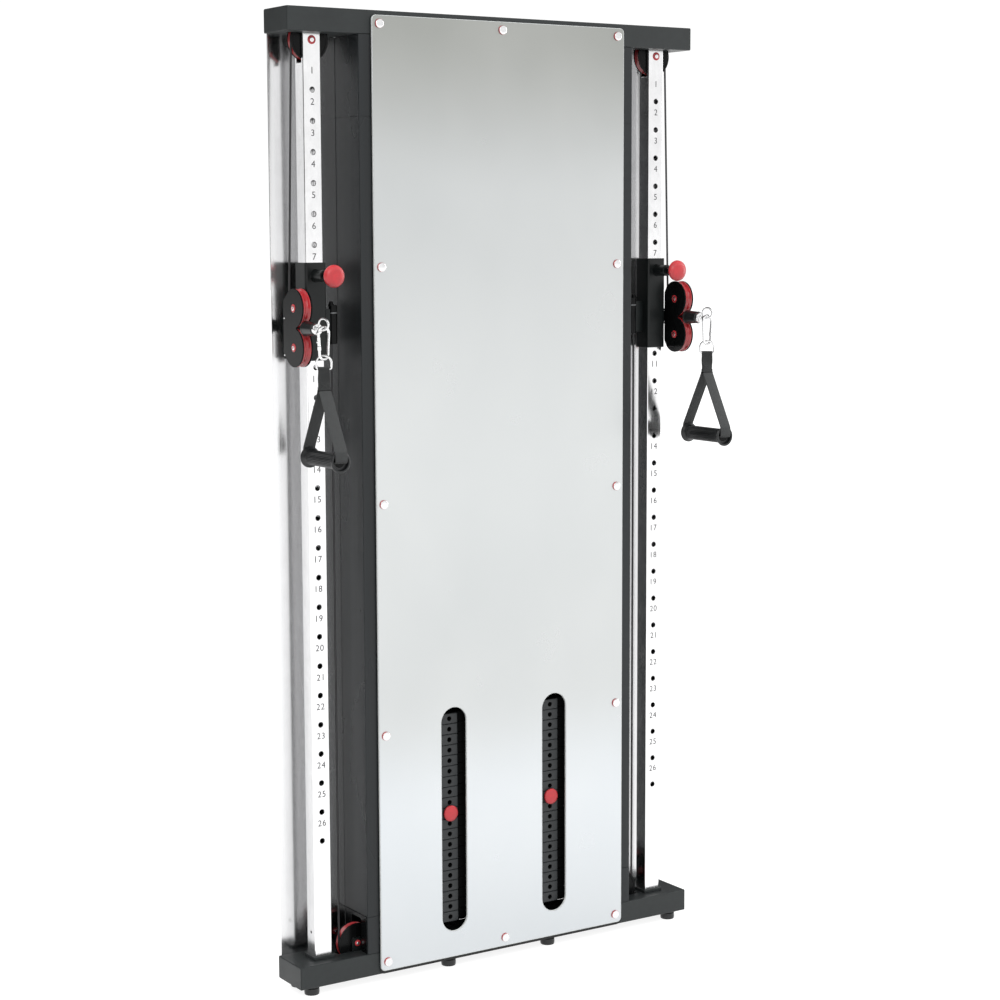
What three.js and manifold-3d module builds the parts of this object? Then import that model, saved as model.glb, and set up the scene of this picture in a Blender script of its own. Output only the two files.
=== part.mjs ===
// Wall pulley weight stack: a mirrored cabinet with two selectorised weight stacks. On each side a
// height-adjustable carriage slides on a numbered, drilled upright and carries a swivelling double
// pulley block, whose cable ends in a stirrup handle.
// Millimetres. X is across the cabinet, Y runs from front to back, Z is up from the floor.
import * as THREE from 'three';
import * as BufferGeometryUtils from 'three/addons/utils/BufferGeometryUtils.js';
import Module from 'manifold-3d';

const wasm = await Module();
wasm.setup();

// Cabinet frame: two closed sheet-metal beams, one at the floor and one at the top.
const FRAME_WIDTH = 1120;
const FRAME_DEPTH = 113;
const FRAME_HEIGHT = 2243;
const BEAM_HEIGHT = 54;
const BEAM_WALL = 3;
const SHEET = 3;
const FIT_GAP = 0.3;
const RUNNING_GAP = 0.3;
const OVERRUN = 5;

// Rubber feet in two rows of four.
const FOOT_HEIGHT = 20;
const FOOT_RADIUS = 18;
const FOOT_STEM_RADIUS = 15;
const FOOT_FLANGE = 5;
const FOOT_INSET = 40;
const FOOT_INNER_X = 145;
const FOOT_EDGE = 23;

// Uprights: chrome rectangular tube with a row of index holes in the front wall.
const UPRIGHT_INSET = 80;
const UPRIGHT_WIDTH = 44.5;
const UPRIGHT_DEPTH = 40;
const UPRIGHT_WALL = 3;
const CABLE_Y = 56;
const PLINTH_HEIGHT = 8;
const PLINTH_MARGIN = 6;
const HOLE_COUNT = 26;
const HOLE_RADIUS = 6.25;
const FIRST_HOLE_BELOW_TOP = 125;
const LAST_HOLE_ABOVE_BEAM = 283;
const CARRIAGE_HOLE = 7;

// Cables and pulleys. The pitch radius is measured to the middle of the cable.
const CABLE_RADIUS = 2.5;
const GROOVE_GAP = 0.9;
const CABLE_STUB = 3;
const PITCH_RADIUS = 41.5;
const RIM_HEIGHT = 9;
const PULLEY_WIDTH = 20;
const FLANGE_WIDTH = 1.6;
const AXLE_RADIUS = 6;
const TAIL_PITCH_RADIUS = 24;
const TAIL_RIM_HEIGHT = 5.4;
const TAIL_AXLE_RADIUS = 5;
const TOP_PULLEY_DROP = 15;
const BOTTOM_PULLEY_OFFSET = 93;
const BOTTOM_PULLEY_RISE = 19;
const CHEEK_HALF_WIDTH = 14;
const CHEEK_SHEET = 4;
const CHEEK_END_MARGIN = 13;
const PULLEY_SIDE_GAP = 2;
const SLOT_MARGIN = 4;
const AXLE_HEAD_RADIUS = 10;
const AXLE_HEAD_LENGTH = 3;

// Stainless plates behind the uprights, and the casing between them.
const REAR_PLATE_EDGE = 7;
const CASING_OFFSET = 99;
const CASING_FLANGE = 46;
const CASING_OPENING_HEIGHT = 90;
const CASING_OPENING_MARGIN = 6;

// Mirror door with two stadium windows, on a black backing board with chrome cap screws.
const MIRROR_INSET = 31;
const MIRROR_BOTTOM = 9;
const MIRROR_TOP_MARGIN = 11;
const MIRROR_CORNER = 11;
const GLASS_THICKNESS = 4.7;
const BACKING_THICKNESS = 2.7;
const BACKING_MARGIN = 8;
const WINDOW_X = 144.5;
const WINDOW_RADIUS = 35;
const WINDOW_BOTTOM = 73;
const WINDOW_HEIGHT = 549;
const CAP_RADIUS = 10.5;
const CAP_HEIGHT = 4;
const CAP_SHANK_RADIUS = 4;
const CAP_INSET = 19;
const CAP_FIRST_Z = 30;
const CAP_ROWS = 5;

// Weight stacks: plates with a pin hole each, on two guide rods.
const STACK_X = 145.5;
const PLATE_COUNT = 20;
const LIFTED_COUNT = 10;
const PLATE_PITCH = 25.68;
const PLATE_GAP = 0.5;
const PLATE_BEVEL = 3;
const PLATE_WIDTH = 160;
const PLATE_FRONT = 24;
const PLATE_BACK_GAP = 10;
const NOSE_WIDTH = 47;
const NOSE_FRONT = 12;
const PIN_HOLE_RADIUS = 5.5;
const STACK_BASE = 35.4;
const ROD_RADIUS = 8;
const ROD_SPREAD = 50;
const ROD_SETBACK = 16;
const STEM_WIDTH = 25;
const STEM_DEPTH = 14;
const STEM_CLEARANCE = 1;
const HEAD_PLATE = 12;
const HEAD_HALF_WIDTH = 30;
const HEAD_CLEARANCE = 5;
const BUMPER_RADIUS = 16;
const BASE_PLATE = 8;
const BASE_PLATE_DEPTH = 36;

// Selector pin with its round knob, behind the mirror and reached through the window.
const SELECTOR_RADIUS = 4.5;
const SELECTOR_KNOB_RADIUS = 19.5;
const SELECTOR_KNOB_FRONT = 3;
const SELECTOR_KNOB_ROUND = 3;
const SELECTOR_REACH = 4;

// Carriage: a square sleeve with a spring pull pin, a cable anchor and a hinge lug.
const SLEEVE_HALF = 26.5;
const SLEEVE_CLEARANCE = 0.6;
const SLEEVE_ABOVE_PIN = 29.4;
const SLEEVE_HEIGHT = 221.5;
const HOUSING_RADIUS = 13.75;
const HOUSING_LENGTH = 44.5;
const PULL_SHAFT_RADIUS = 4.7;
const PULL_NECK_RADIUS = 8;
const PULL_NECK_LENGTH = 20.5;
const PULL_KNOB_RADIUS = 25.5;
const PULL_KNOB_LENGTH = 30;
const PULL_KNOB_ROUND = 12;
const PULL_KNOB_RIM = 18;
const ANCHOR_WIDTH = 18;
const ANCHOR_DEPTH = 16;
const ANCHOR_LOW = 35.5;
const ANCHOR_HEIGHT = 89;
const ANCHOR_BOLT_RADIUS = 5;
const ANCHOR_BOLT_HEIGHT = 8;
const ANCHOR_OFFSET = 4.5;
const WEB_THICKNESS = 8;
const WEB_HEIGHT = 76;
const WEB_LIFT = 4;

// Swivelling block: two cheeks that hold two pulleys, one above the other.
const BLOCK_OFFSET = 55.5;
const BLOCK_HALF_THICKNESS = 13;
const BLOCK_SHEET = 3;
const BLOCK_LOBE_RADIUS = 44;
const BLOCK_PITCH_RADIUS = 44.2;
const BLOCK_RIM_HEIGHT = 2.9;
const BLOCK_PULLEY_HALF_WIDTH = 9;
const BLOCK_AXLE_RADIUS = 5;
const BLOCK_BELOW_PIN = 115.8;
const BLOCK_OUTER_REAR = 5;
const BLOCK_INNER_REAR = 3;
const BLOCK_REAR_CUT = 15;
const BLOCK_LOBE_SEGMENTS = 9;
const HINGE_POST_RADIUS = 7.5;
const HINGE_POST_HALF_HEIGHT = 14;
const HINGE_PIN_RADIUS = 3;
const HINGE_EAR_HEIGHT = 4.6;
const HINGE_EAR_DEPTH = 10.5;
const HINGE_EAR_FRONT = 4.8;
const HINGE_WEB_SETBACK = 2;
const HINGE_LUG_HEIGHT = 79;
const HINGE_LUG_LENGTH = 8.5;

// Cable end: a tapered rubber stop, a steel collar and an eye.
const STOP_RADIUS = 17;
const STOP_END_RADIUS = 14;
const STOP_LENGTH = 45;
const STOP_GAP = 2.5;
const COLLAR_RADIUS = 12.8;
const COLLAR_LENGTH = 8;
const EYE_NECK_RADIUS = 4.5;
const EYE_HOLE_RADIUS = 10;
const EYE_WIRE_RADIUS = 2.5;
const EYE_RISE = 12;
const EYE_Y = -105;

// Stirrup handle: snap hook, D-ring, webbing and a turning grip.
const HOOK_WIRE_RADIUS = 3.5;
const HOOK_TOP_WIDTH = 32;
const HOOK_BOTTOM_WIDTH = 28;
const HOOK_HEIGHT = 77;
const RING_WIRE_RADIUS = 2.2;
const RING_WIDTH = 36;
const RING_BOTTOM_WIDTH = 32;
const RING_HEIGHT = 34.5;
const RING_SEAT = 2.5;
const RING_TURN_DEGREES = 45;
const NECK_TOP_WIDTH = 28;
const NECK_WIDTH = 33;
const NECK_THICKNESS = 9;
const NECK_HEIGHT = 49;
const LEG_WIDTH = 32;
const LEG_THICKNESS = 3;
const LEG_DROP = 152;
const LEG_TAIL = 14;
const GRIP_LENGTH = 147;
const GRIP_RADIUS = 17.5;
const GRIP_FLANGE_RADIUS = 24;
const GRIP_FLANGE = 5;
const GRIP_CORE_RADIUS = 12;
const GRIP_END_GAP = 0.5;

// Places worked out from the driving sizes, measured from the underside of the lower beam.
const UPPER_BEAM_BOTTOM = FRAME_HEIGHT - BEAM_HEIGHT;
const FOOT_OUTER_X = FRAME_WIDTH / 2 - FOOT_INSET;
const UPRIGHT_X = FRAME_WIDTH / 2 - UPRIGHT_INSET;
const BLOCK_X = UPRIGHT_X + BLOCK_OFFSET;
const BOTTOM_PULLEY_X = UPRIGHT_X - BOTTOM_PULLEY_OFFSET;
const CASING_HALF_WIDTH = UPRIGHT_X - CASING_OFFSET;
const MIRROR_HALF_WIDTH = CASING_HALF_WIDTH - MIRROR_INSET;
const CAP_X = MIRROR_HALF_WIDTH - CAP_INSET;
const PLATE_BACK = FRAME_DEPTH - SHEET - PLATE_BACK_GAP;
const ROD_Y = PLATE_BACK - ROD_SETBACK;
const PANEL_BOTTOM = BEAM_HEIGHT + FIT_GAP;
const PANEL_TOP = UPPER_BEAM_BOTTOM - FIT_GAP;
const UPRIGHT_FRONT = CABLE_Y - UPRIGHT_DEPTH / 2;
const TOP_PULLEY_Z = UPPER_BEAM_BOTTOM - TOP_PULLEY_DROP;
const BOTTOM_PULLEY_Z = BEAM_HEIGHT + BOTTOM_PULLEY_RISE;
const RETURN_Z = BOTTOM_PULLEY_Z - PITCH_RADIUS;
const TAIL_PULLEY_Z = RETURN_Z + TAIL_PITCH_RADIUS;
const RIM_RADIUS = PITCH_RADIUS - CABLE_RADIUS - GROOVE_GAP + RIM_HEIGHT;
const HEADER_OUTER_X = STACK_X + 2 * PITCH_RADIUS;
const HEADER_INNER_X = STACK_X - 2 * PITCH_RADIUS;
const TAIL_PULLEY_X = HEADER_INNER_X - PITCH_RADIUS + TAIL_PITCH_RADIUS;
const CHEEK_INNER_Y = PULLEY_WIDTH / 2 + PULLEY_SIDE_GAP;
const BACKING_BACK = -FIT_GAP;
const BACKING_FRONT = BACKING_BACK - BACKING_THICKNESS;
const GLASS_BACK = BACKING_FRONT - FIT_GAP;
const GLASS_FRONT = GLASS_BACK - GLASS_THICKNESS;
const STACK_BOTTOM = BEAM_HEIGHT + STACK_BASE;
const REST_TOP = STACK_BOTTOM + (PLATE_COUNT - LIFTED_COUNT) * PLATE_PITCH;
const STACK_TOP = STACK_BOTTOM + PLATE_COUNT * PLATE_PITCH;
const STACK_PULLEY_Z = STACK_TOP + HEAD_PLATE + HEAD_CLEARANCE + RIM_RADIUS;
const FIRST_HOLE_Z = UPPER_BEAM_BOTTOM - FIRST_HOLE_BELOW_TOP;
const LAST_HOLE_Z = BEAM_HEIGHT + LAST_HOLE_ABOVE_BEAM;
const HOLE_PITCH = (FIRST_HOLE_Z - LAST_HOLE_Z) / (HOLE_COUNT - 1);
const PIN_Z = FIRST_HOLE_Z - (CARRIAGE_HOLE - 1) * HOLE_PITCH;
const SLEEVE_TOP = PIN_Z + SLEEVE_ABOVE_PIN;
const SLEEVE_BOTTOM = SLEEVE_TOP - SLEEVE_HEIGHT;
const SLEEVE_FRONT = CABLE_Y - SLEEVE_HALF;
const BLOCK_Z = PIN_Z - BLOCK_BELOW_PIN;
const BLOCK_AXLE_Y = CABLE_Y - BLOCK_PITCH_RADIUS;
const UPPER_AXLE_Z = BLOCK_Z + BLOCK_PITCH_RADIUS;
const LOWER_AXLE_Z = BLOCK_Z - BLOCK_PITCH_RADIUS;
const CABLE_TOP = TOP_PULLEY_Z - CABLE_STUB;
const CARRIAGE_CABLE_X = BOTTOM_PULLEY_X + PITCH_RADIUS;
const OUTER_FALL_X = UPRIGHT_X + PITCH_RADIUS;
const EYE_Z = BLOCK_Z + EYE_RISE;
const HOOK_AXIS_Z = EYE_Z - EYE_HOLE_RADIUS + HOOK_WIRE_RADIUS + FIT_GAP;
const HOOK_BOTTOM = HOOK_AXIS_Z + HOOK_WIRE_RADIUS - HOOK_HEIGHT;
const RING_TOP = HOOK_BOTTOM + 2 * HOOK_WIRE_RADIUS + 2 * RING_WIRE_RADIUS + RING_SEAT;
const NECK_TOP = RING_TOP - RING_HEIGHT + RING_WIRE_RADIUS;
const NECK_BOTTOM = NECK_TOP - NECK_HEIGHT;
const GRIP_Z = NECK_BOTTOM - LEG_DROP;
const HANDLE_FRONT = EYE_Y - GRIP_LENGTH / 2 - GRIP_END_GAP - LEG_THICKNESS;
const MIRROR_TOP = FRAME_HEIGHT - MIRROR_TOP_MARGIN;
const CAP_PITCH = (FRAME_HEIGHT - 2 * CAP_FIRST_Z) / (CAP_ROWS - 1);

// Facets of round shapes.
const FINE = 16;
const COARSE = 8;
const WIRE = 6;
const CABLE_SIDES = 8;
const ARC_STEPS = 5;
const CORNER_SEGMENTS = 3;
const WINDOW_SEGMENTS = 8;

const black = new THREE.MeshStandardMaterial({ color: 0x2b2d2e, roughness: 0.55, metalness: 0.4 });
const charcoal = new THREE.MeshStandardMaterial({ color: 0x44484a, roughness: 0.5, metalness: 0.3 });
const chrome = new THREE.MeshStandardMaterial({ color: 0xe4e6e6, roughness: 0.12, metalness: 1 });
const stainless = new THREE.MeshStandardMaterial({ color: 0xb9bcbd, roughness: 0.25, metalness: 1 });
const mirror = new THREE.MeshStandardMaterial({ color: 0xd5dad8, roughness: 0.03, metalness: 1 });
const red = new THREE.MeshStandardMaterial({ color: 0xc22a33, roughness: 0.4, metalness: 0 });
const rubber = new THREE.MeshStandardMaterial({ color: 0x1c1d1e, roughness: 0.8, metalness: 0 });
const castIron = new THREE.MeshStandardMaterial({ color: 0x4b4e50, roughness: 0.6, metalness: 0.4 });
const webbing = new THREE.MeshStandardMaterial({ color: 0x3a3c3e, roughness: 0.9, metalness: 0 });

// A geometry becomes a solid: shared corners are merged, slivers dropped, faces turned outward.
function solid(geometry) {
  const bare = geometry.clone();
  bare.deleteAttribute('normal');
  bare.deleteAttribute('uv');
  const merged = BufferGeometryUtils.mergeVertices(bare);
  const points = merged.getAttribute('position').array;
  const index = merged.index.array;
  const triangles = [];
  let volume = 0;
  const a = new THREE.Vector3();
  const b = new THREE.Vector3();
  const c = new THREE.Vector3();
  for (let i = 0; i < index.length; i += 3) {
    const [p, q, r] = [index[i], index[i + 1], index[i + 2]];
    if (p === q || q === r || r === p) continue;
    triangles.push(p, q, r);
    a.fromArray(points, p * 3);
    b.fromArray(points, q * 3);
    c.fromArray(points, r * 3);
    volume += a.dot(b.cross(c));
  }
  if (volume < 0) triangles.reverse();
  return new wasm.Manifold(new wasm.Mesh({
    numProp: 3,
    vertProperties: new Float32Array(points),
    triVerts: new Uint32Array(triangles),
  }));
}

// A box between two opposite corners.
function box(low, high) {
  const size = high.map((value, i) => value - low[i]);
  const geometry = new THREE.BoxGeometry(...size);
  geometry.translate(...low.map((value, i) => value + size[i] / 2));
  return solid(geometry);
}

// Radius of a faceted bore whose flats clear a shaft.
function boreFor(shaft, sides) {
  return (shaft + RUNNING_GAP) / Math.cos(Math.PI / sides);
}

// A bar with a round section from one point to another.
function rod(from, to, radius, sides = FINE, endRadius = radius) {
  const start = new THREE.Vector3(...from);
  const end = new THREE.Vector3(...to);
  const geometry = new THREE.CylinderGeometry(endRadius, radius, start.distanceTo(end), sides);
  const along = end.clone().sub(start).normalize();
  const up = new THREE.Vector3(0, 1, 0);
  geometry.applyQuaternion(new THREE.Quaternion().setFromUnitVectors(up, along));
  const middle = start.add(end).multiplyScalar(0.5);
  geometry.translate(middle.x, middle.y, middle.z);
  return solid(geometry);
}

// A turned piece: the profile holds [radius, distance along the axis] pairs.
function turned(profile, axis, centre, sides = FINE) {
  const geometry = new THREE.LatheGeometry(profile.map(([r, d]) => new THREE.Vector2(r, d)), sides);
  const up = new THREE.Vector3(0, 1, 0);
  geometry.applyQuaternion(new THREE.Quaternion().setFromUnitVectors(up, new THREE.Vector3(...axis)));
  geometry.translate(...centre);
  return solid(geometry);
}

// A plate cut to an outline in the YZ plane and spread along X between two places.
function sidePlate(outline, fromX, toX, curveSegments = BLOCK_LOBE_SEGMENTS) {
  const shape = outline instanceof THREE.Shape ? outline : new THREE.Shape(outline);
  const geometry = new THREE.ExtrudeGeometry(shape, {
    depth: toX - fromX, bevelEnabled: false, curveSegments, steps: 1,
  });
  geometry.rotateY(Math.PI / 2);
  geometry.rotateX(Math.PI / 2);
  geometry.translate(fromX, 0, 0);
  return solid(geometry);
}

// A plate cut to an outline in the XZ plane and spread along Y between two places.
function frontPlate(shape, fromY, toY, curveSegments = FINE) {
  const geometry = new THREE.ExtrudeGeometry(shape, {
    depth: toY - fromY, bevelEnabled: false, curveSegments, steps: 1,
  });
  geometry.rotateX(Math.PI / 2);
  geometry.translate(0, toY, 0);
  return solid(geometry);
}

// A cable route whose sweep has one ring at each of its points.
class CableRoute extends THREE.Curve {
  constructor(points) {
    super();
    this.points = points;
  }

  getPoint(t) {
    return this.points[Math.round(t * (this.points.length - 1))].clone();
  }

  getPointAt(t) {
    return this.getPoint(t);
  }

  getTangentAt(t) {
    const last = this.points.length - 1;
    const here = Math.round(t * last);
    const before = this.points[Math.max(here - 1, 0)];
    const after = this.points[Math.min(here + 1, last)];
    return after.clone().sub(before).normalize();
  }
}

function cable(points, radius = CABLE_RADIUS, sides = CABLE_SIDES) {
  const section = new THREE.Shape();
  for (let i = 0; i < sides; i += 1) {
    const angle = (i / sides) * 2 * Math.PI;
    const place = [radius * Math.cos(angle), radius * Math.sin(angle)];
    if (i === 0) section.moveTo(...place);
    else section.lineTo(...place);
  }
  section.closePath();
  return solid(new THREE.ExtrudeGeometry(section, {
    steps: points.length - 1, extrudePath: new CableRoute(points), bevelEnabled: false,
  }));
}

// Points of a turn in the XZ plane round a pulley, by quarter turns counted from +X towards +Z.
function turn(x, z, radius, fromQuarter, toQuarter) {
  const points = [];
  const steps = ARC_STEPS * Math.abs(toQuarter - fromQuarter);
  for (let i = 0; i <= steps; i += 1) {
    const angle = (fromQuarter + ((toQuarter - fromQuarter) * i) / steps) * (Math.PI / 2);
    points.push(new THREE.Vector3(x + radius * Math.cos(angle), CABLE_Y, z + radius * Math.sin(angle)));
  }
  return points;
}

// A grooved pulley wheel about its own axis.
function pulley(axis, centre, pitch, rimHeight, halfWidth, axle, sides) {
  const bore = boreFor(axle, sides);
  const groove = pitch - CABLE_RADIUS - GROOVE_GAP;
  const rim = groove + rimHeight;
  const seat = CABLE_RADIUS + FIT_GAP;
  const lip = Math.max(halfWidth - FLANGE_WIDTH, seat);
  return turned([
    [bore, -halfWidth], [rim, -halfWidth], [rim, -lip], [groove, -seat],
    [groove, seat], [rim, lip], [rim, halfWidth], [bore, halfWidth], [bore, -halfWidth],
  ], axis, centre, sides);
}

const machine = new THREE.Group();
machine.position.set(0, -(HANDLE_FRONT + FRAME_DEPTH) / 2, FOOT_HEIGHT);

// A finished solid becomes a named mesh; its geometry is measured from its own place.
function place(name, body, material, [x, y, z] = [0, 0, 0]) {
  const { vertProperties, triVerts } = body.getMesh();
  const geometry = new THREE.BufferGeometry();
  geometry.setAttribute('position', new THREE.BufferAttribute(new Float32Array(vertProperties), 3));
  geometry.setIndex(new THREE.BufferAttribute(new Uint32Array(triVerts), 1));
  geometry.translate(-x, -y, -z);
  geometry.computeVertexNormals();
  const mesh = new THREE.Mesh(geometry, material);
  mesh.name = name;
  mesh.position.set(x, y, z);
  machine.add(mesh);
}

// Pieces are drawn for the right-hand side and mirrored across the middle for the left.
const SIDES = [{ name: 'right', sign: 1 }, { name: 'left', sign: -1 }];
function placeSide(side, name, body, material, [x, y, z]) {
  const handed = side.sign < 0 ? body.mirror([1, 0, 0]) : body;
  place(`${side.name}_${name}`, handed, material, [side.sign * x, y, z]);
}

function bothSides(body) {
  return body.add(body.mirror([1, 0, 0]));
}

// Two cheek plates and an axle that carry a pulley from a beam.
function pulleyCheeks(x, z, seatZ, axleRadius) {
  const low = Math.min(z - CHEEK_END_MARGIN, seatZ);
  const high = Math.max(z + CHEEK_END_MARGIN, seatZ);
  const inner = CHEEK_INNER_Y;
  const outer = inner + CHEEK_SHEET;
  const front = box([x - CHEEK_HALF_WIDTH, CABLE_Y - outer, low],
    [x + CHEEK_HALF_WIDTH, CABLE_Y - inner, high]);
  const back = box([x - CHEEK_HALF_WIDTH, CABLE_Y + inner, low],
    [x + CHEEK_HALF_WIDTH, CABLE_Y + outer, high]);
  const axle = rod([x, CABLE_Y - inner - CHEEK_SHEET / 2, z],
    [x, CABLE_Y + inner + CHEEK_SHEET / 2, z], axleRadius);
  return front.add(back).add(axle);
}

// A slot in a beam wall that lets a pulley pass.
function pulleySlot(x, rim, fromZ, toZ) {
  return box([x - rim - SLOT_MARGIN, CABLE_Y - CHEEK_INNER_Y, fromZ],
    [x + rim + SLOT_MARGIN, CABLE_Y + CHEEK_INNER_Y, toZ]);
}

// A hollow beam across the whole cabinet.
function beam(bottom) {
  const half = FRAME_WIDTH / 2;
  const shell = box([-half, 0, bottom], [half, FRAME_DEPTH, bottom + BEAM_HEIGHT]);
  const hollow = box([BEAM_WALL - half, BEAM_WALL, bottom + BEAM_WALL],
    [half - BEAM_WALL, FRAME_DEPTH - BEAM_WALL, bottom + BEAM_HEIGHT - BEAM_WALL]);
  return shell.subtract(hollow);
}

// Lower beam with its feet, the plinths of the uprights and the brackets of the lower pulleys.
function bottomBeam() {
  const tailRim = TAIL_PITCH_RADIUS - CABLE_RADIUS - GROOVE_GAP + TAIL_RIM_HEIGHT;
  const wallLow = BEAM_HEIGHT - BEAM_WALL - OVERRUN;
  const wallHigh = BEAM_HEIGHT + OVERRUN;
  const slots = pulleySlot(BOTTOM_PULLEY_X, RIM_RADIUS, wallLow, wallHigh)
    .add(pulleySlot(TAIL_PULLEY_X, tailRim, wallLow, wallHigh));
  const foot = [[0, -FOOT_HEIGHT], [FOOT_RADIUS, -FOOT_HEIGHT], [FOOT_RADIUS, FOOT_FLANGE - FOOT_HEIGHT],
    [FOOT_STEM_RADIUS, FOOT_FLANGE - FOOT_HEIGHT], [FOOT_STEM_RADIUS, BEAM_WALL / 2], [0, BEAM_WALL / 2]];
  const plinth = box(
    [UPRIGHT_X - UPRIGHT_WIDTH / 2 - PLINTH_MARGIN, UPRIGHT_FRONT - PLINTH_MARGIN,
      BEAM_HEIGHT - BEAM_WALL / 2],
    [UPRIGHT_X + UPRIGHT_WIDTH / 2 + PLINTH_MARGIN, UPRIGHT_FRONT + UPRIGHT_DEPTH + PLINTH_MARGIN,
      BEAM_HEIGHT + PLINTH_HEIGHT],
  );
  const seat = BEAM_HEIGHT - BEAM_WALL;
  let fittings = plinth
    .add(pulleyCheeks(BOTTOM_PULLEY_X, BOTTOM_PULLEY_Z, seat, AXLE_RADIUS))
    .add(pulleyCheeks(TAIL_PULLEY_X, TAIL_PULLEY_Z, seat, TAIL_AXLE_RADIUS));
  for (const x of [FOOT_OUTER_X, FOOT_INNER_X]) {
    for (const y of [FOOT_EDGE, FRAME_DEPTH - FOOT_EDGE]) {
      fittings = fittings.add(turned(foot, [0, 0, 1], [x, y, 0], COARSE));
    }
  }
  return beam(0).subtract(bothSides(slots)).add(bothSides(fittings));
}

// Upper beam with the brackets of the four header pulleys.
function topBeam() {
  const wallLow = UPPER_BEAM_BOTTOM - OVERRUN;
  const wallHigh = UPPER_BEAM_BOTTOM + BEAM_WALL + OVERRUN;
  const slots = pulleySlot(UPRIGHT_X, RIM_RADIUS, wallLow, wallHigh)
    .add(pulleySlot(HEADER_OUTER_X, RIM_RADIUS, wallLow, wallHigh))
    .add(pulleySlot(HEADER_INNER_X, RIM_RADIUS, wallLow, wallHigh));
  const seat = UPPER_BEAM_BOTTOM + BEAM_WALL;
  const brackets = pulleyCheeks(HEADER_OUTER_X, TOP_PULLEY_Z, seat, AXLE_RADIUS)
    .add(pulleyCheeks(HEADER_INNER_X, TOP_PULLEY_Z, seat, AXLE_RADIUS));
  return beam(UPPER_BEAM_BOTTOM).subtract(bothSides(slots)).add(bothSides(brackets));
}

function roundedRectangle(halfWidth, bottom, top, corner) {
  const shape = new THREE.Shape();
  const right = halfWidth - corner;
  shape.moveTo(-right, bottom);
  shape.absarc(right, bottom + corner, corner, -Math.PI / 2, 0, false);
  shape.absarc(right, top - corner, corner, 0, Math.PI / 2, false);
  shape.absarc(-right, top - corner, corner, Math.PI / 2, Math.PI, false);
  shape.absarc(-right, bottom + corner, corner, Math.PI, Math.PI * 1.5, false);
  shape.closePath();
  return shape;
}

// One window of the mirror: a stadium that is cut through.
function windowCut() {
  const shape = new THREE.Shape();
  const top = WINDOW_BOTTOM + WINDOW_HEIGHT;
  shape.absarc(WINDOW_X, top - WINDOW_RADIUS, WINDOW_RADIUS, 0, Math.PI, false);
  shape.absarc(WINDOW_X, WINDOW_BOTTOM + WINDOW_RADIUS, WINDOW_RADIUS, Math.PI, 2 * Math.PI, false);
  shape.closePath();
  return frontPlate(shape, GLASS_FRONT - OVERRUN, BACKING_BACK + OVERRUN, WINDOW_SEGMENTS);
}

// Places of the chrome cap screws: a column at each side and one at each end of the middle.
function capPlaces() {
  const places = [];
  for (let row = 0; row < CAP_ROWS; row += 1) {
    const z = CAP_FIRST_Z + row * CAP_PITCH;
    places.push([-CAP_X, z], [CAP_X, z]);
    if (row === 0 || row === CAP_ROWS - 1) places.push([0, z]);
  }
  return places;
}

function mirrorGlass() {
  const windows = bothSides(windowCut());
  let glass = frontPlate(roundedRectangle(MIRROR_HALF_WIDTH, MIRROR_BOTTOM, MIRROR_TOP, MIRROR_CORNER),
    GLASS_FRONT, GLASS_BACK, CORNER_SEGMENTS).subtract(windows);
  for (const [x, z] of capPlaces()) {
    glass = glass.subtract(rod([x, GLASS_FRONT - OVERRUN, z], [x, GLASS_BACK + OVERRUN, z],
      CAP_SHANK_RADIUS + FIT_GAP, WIRE));
  }
  return glass;
}

function mirrorBacking() {
  const windows = bothSides(windowCut());
  const bottom = MIRROR_BOTTOM - BACKING_MARGIN;
  let backing = frontPlate(
    roundedRectangle(MIRROR_HALF_WIDTH, bottom, MIRROR_TOP, MIRROR_CORNER),
    BACKING_FRONT, BACKING_BACK, CORNER_SEGMENTS,
  ).subtract(windows);
  for (const [x, z] of capPlaces()) {
    const capBack = GLASS_FRONT - FIT_GAP;
    const shank = rod([x, capBack - CAP_HEIGHT / 2, z], [x, BACKING_FRONT + BACKING_THICKNESS / 2, z],
      CAP_SHANK_RADIUS, WIRE);
    const head = rod([x, capBack - CAP_HEIGHT, z], [x, capBack, z], CAP_RADIUS, COARSE);
    backing = backing.add(shank).add(head);
  }
  return backing;
}

// Casing side: a folded sheet with a front flange, open at the foot for the bottom pulley.
function casingSide() {
  const wall = box([CASING_HALF_WIDTH - SHEET, 0, PANEL_BOTTOM],
    [CASING_HALF_WIDTH, FRAME_DEPTH - SHEET - FIT_GAP, PANEL_TOP]);
  const flange = box([CASING_HALF_WIDTH - CASING_FLANGE, 0, PANEL_BOTTOM],
    [CASING_HALF_WIDTH - SHEET / 2, SHEET, PANEL_TOP]);
  const reach = CHEEK_INNER_Y + CHEEK_SHEET + CASING_OPENING_MARGIN;
  const opening = box([CASING_HALF_WIDTH - SHEET - OVERRUN, CABLE_Y - reach, BEAM_HEIGHT - OVERRUN],
    [CASING_HALF_WIDTH + OVERRUN, CABLE_Y + reach, BEAM_HEIGHT + CASING_OPENING_HEIGHT]);
  return wall.add(flange).subtract(opening);
}

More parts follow.
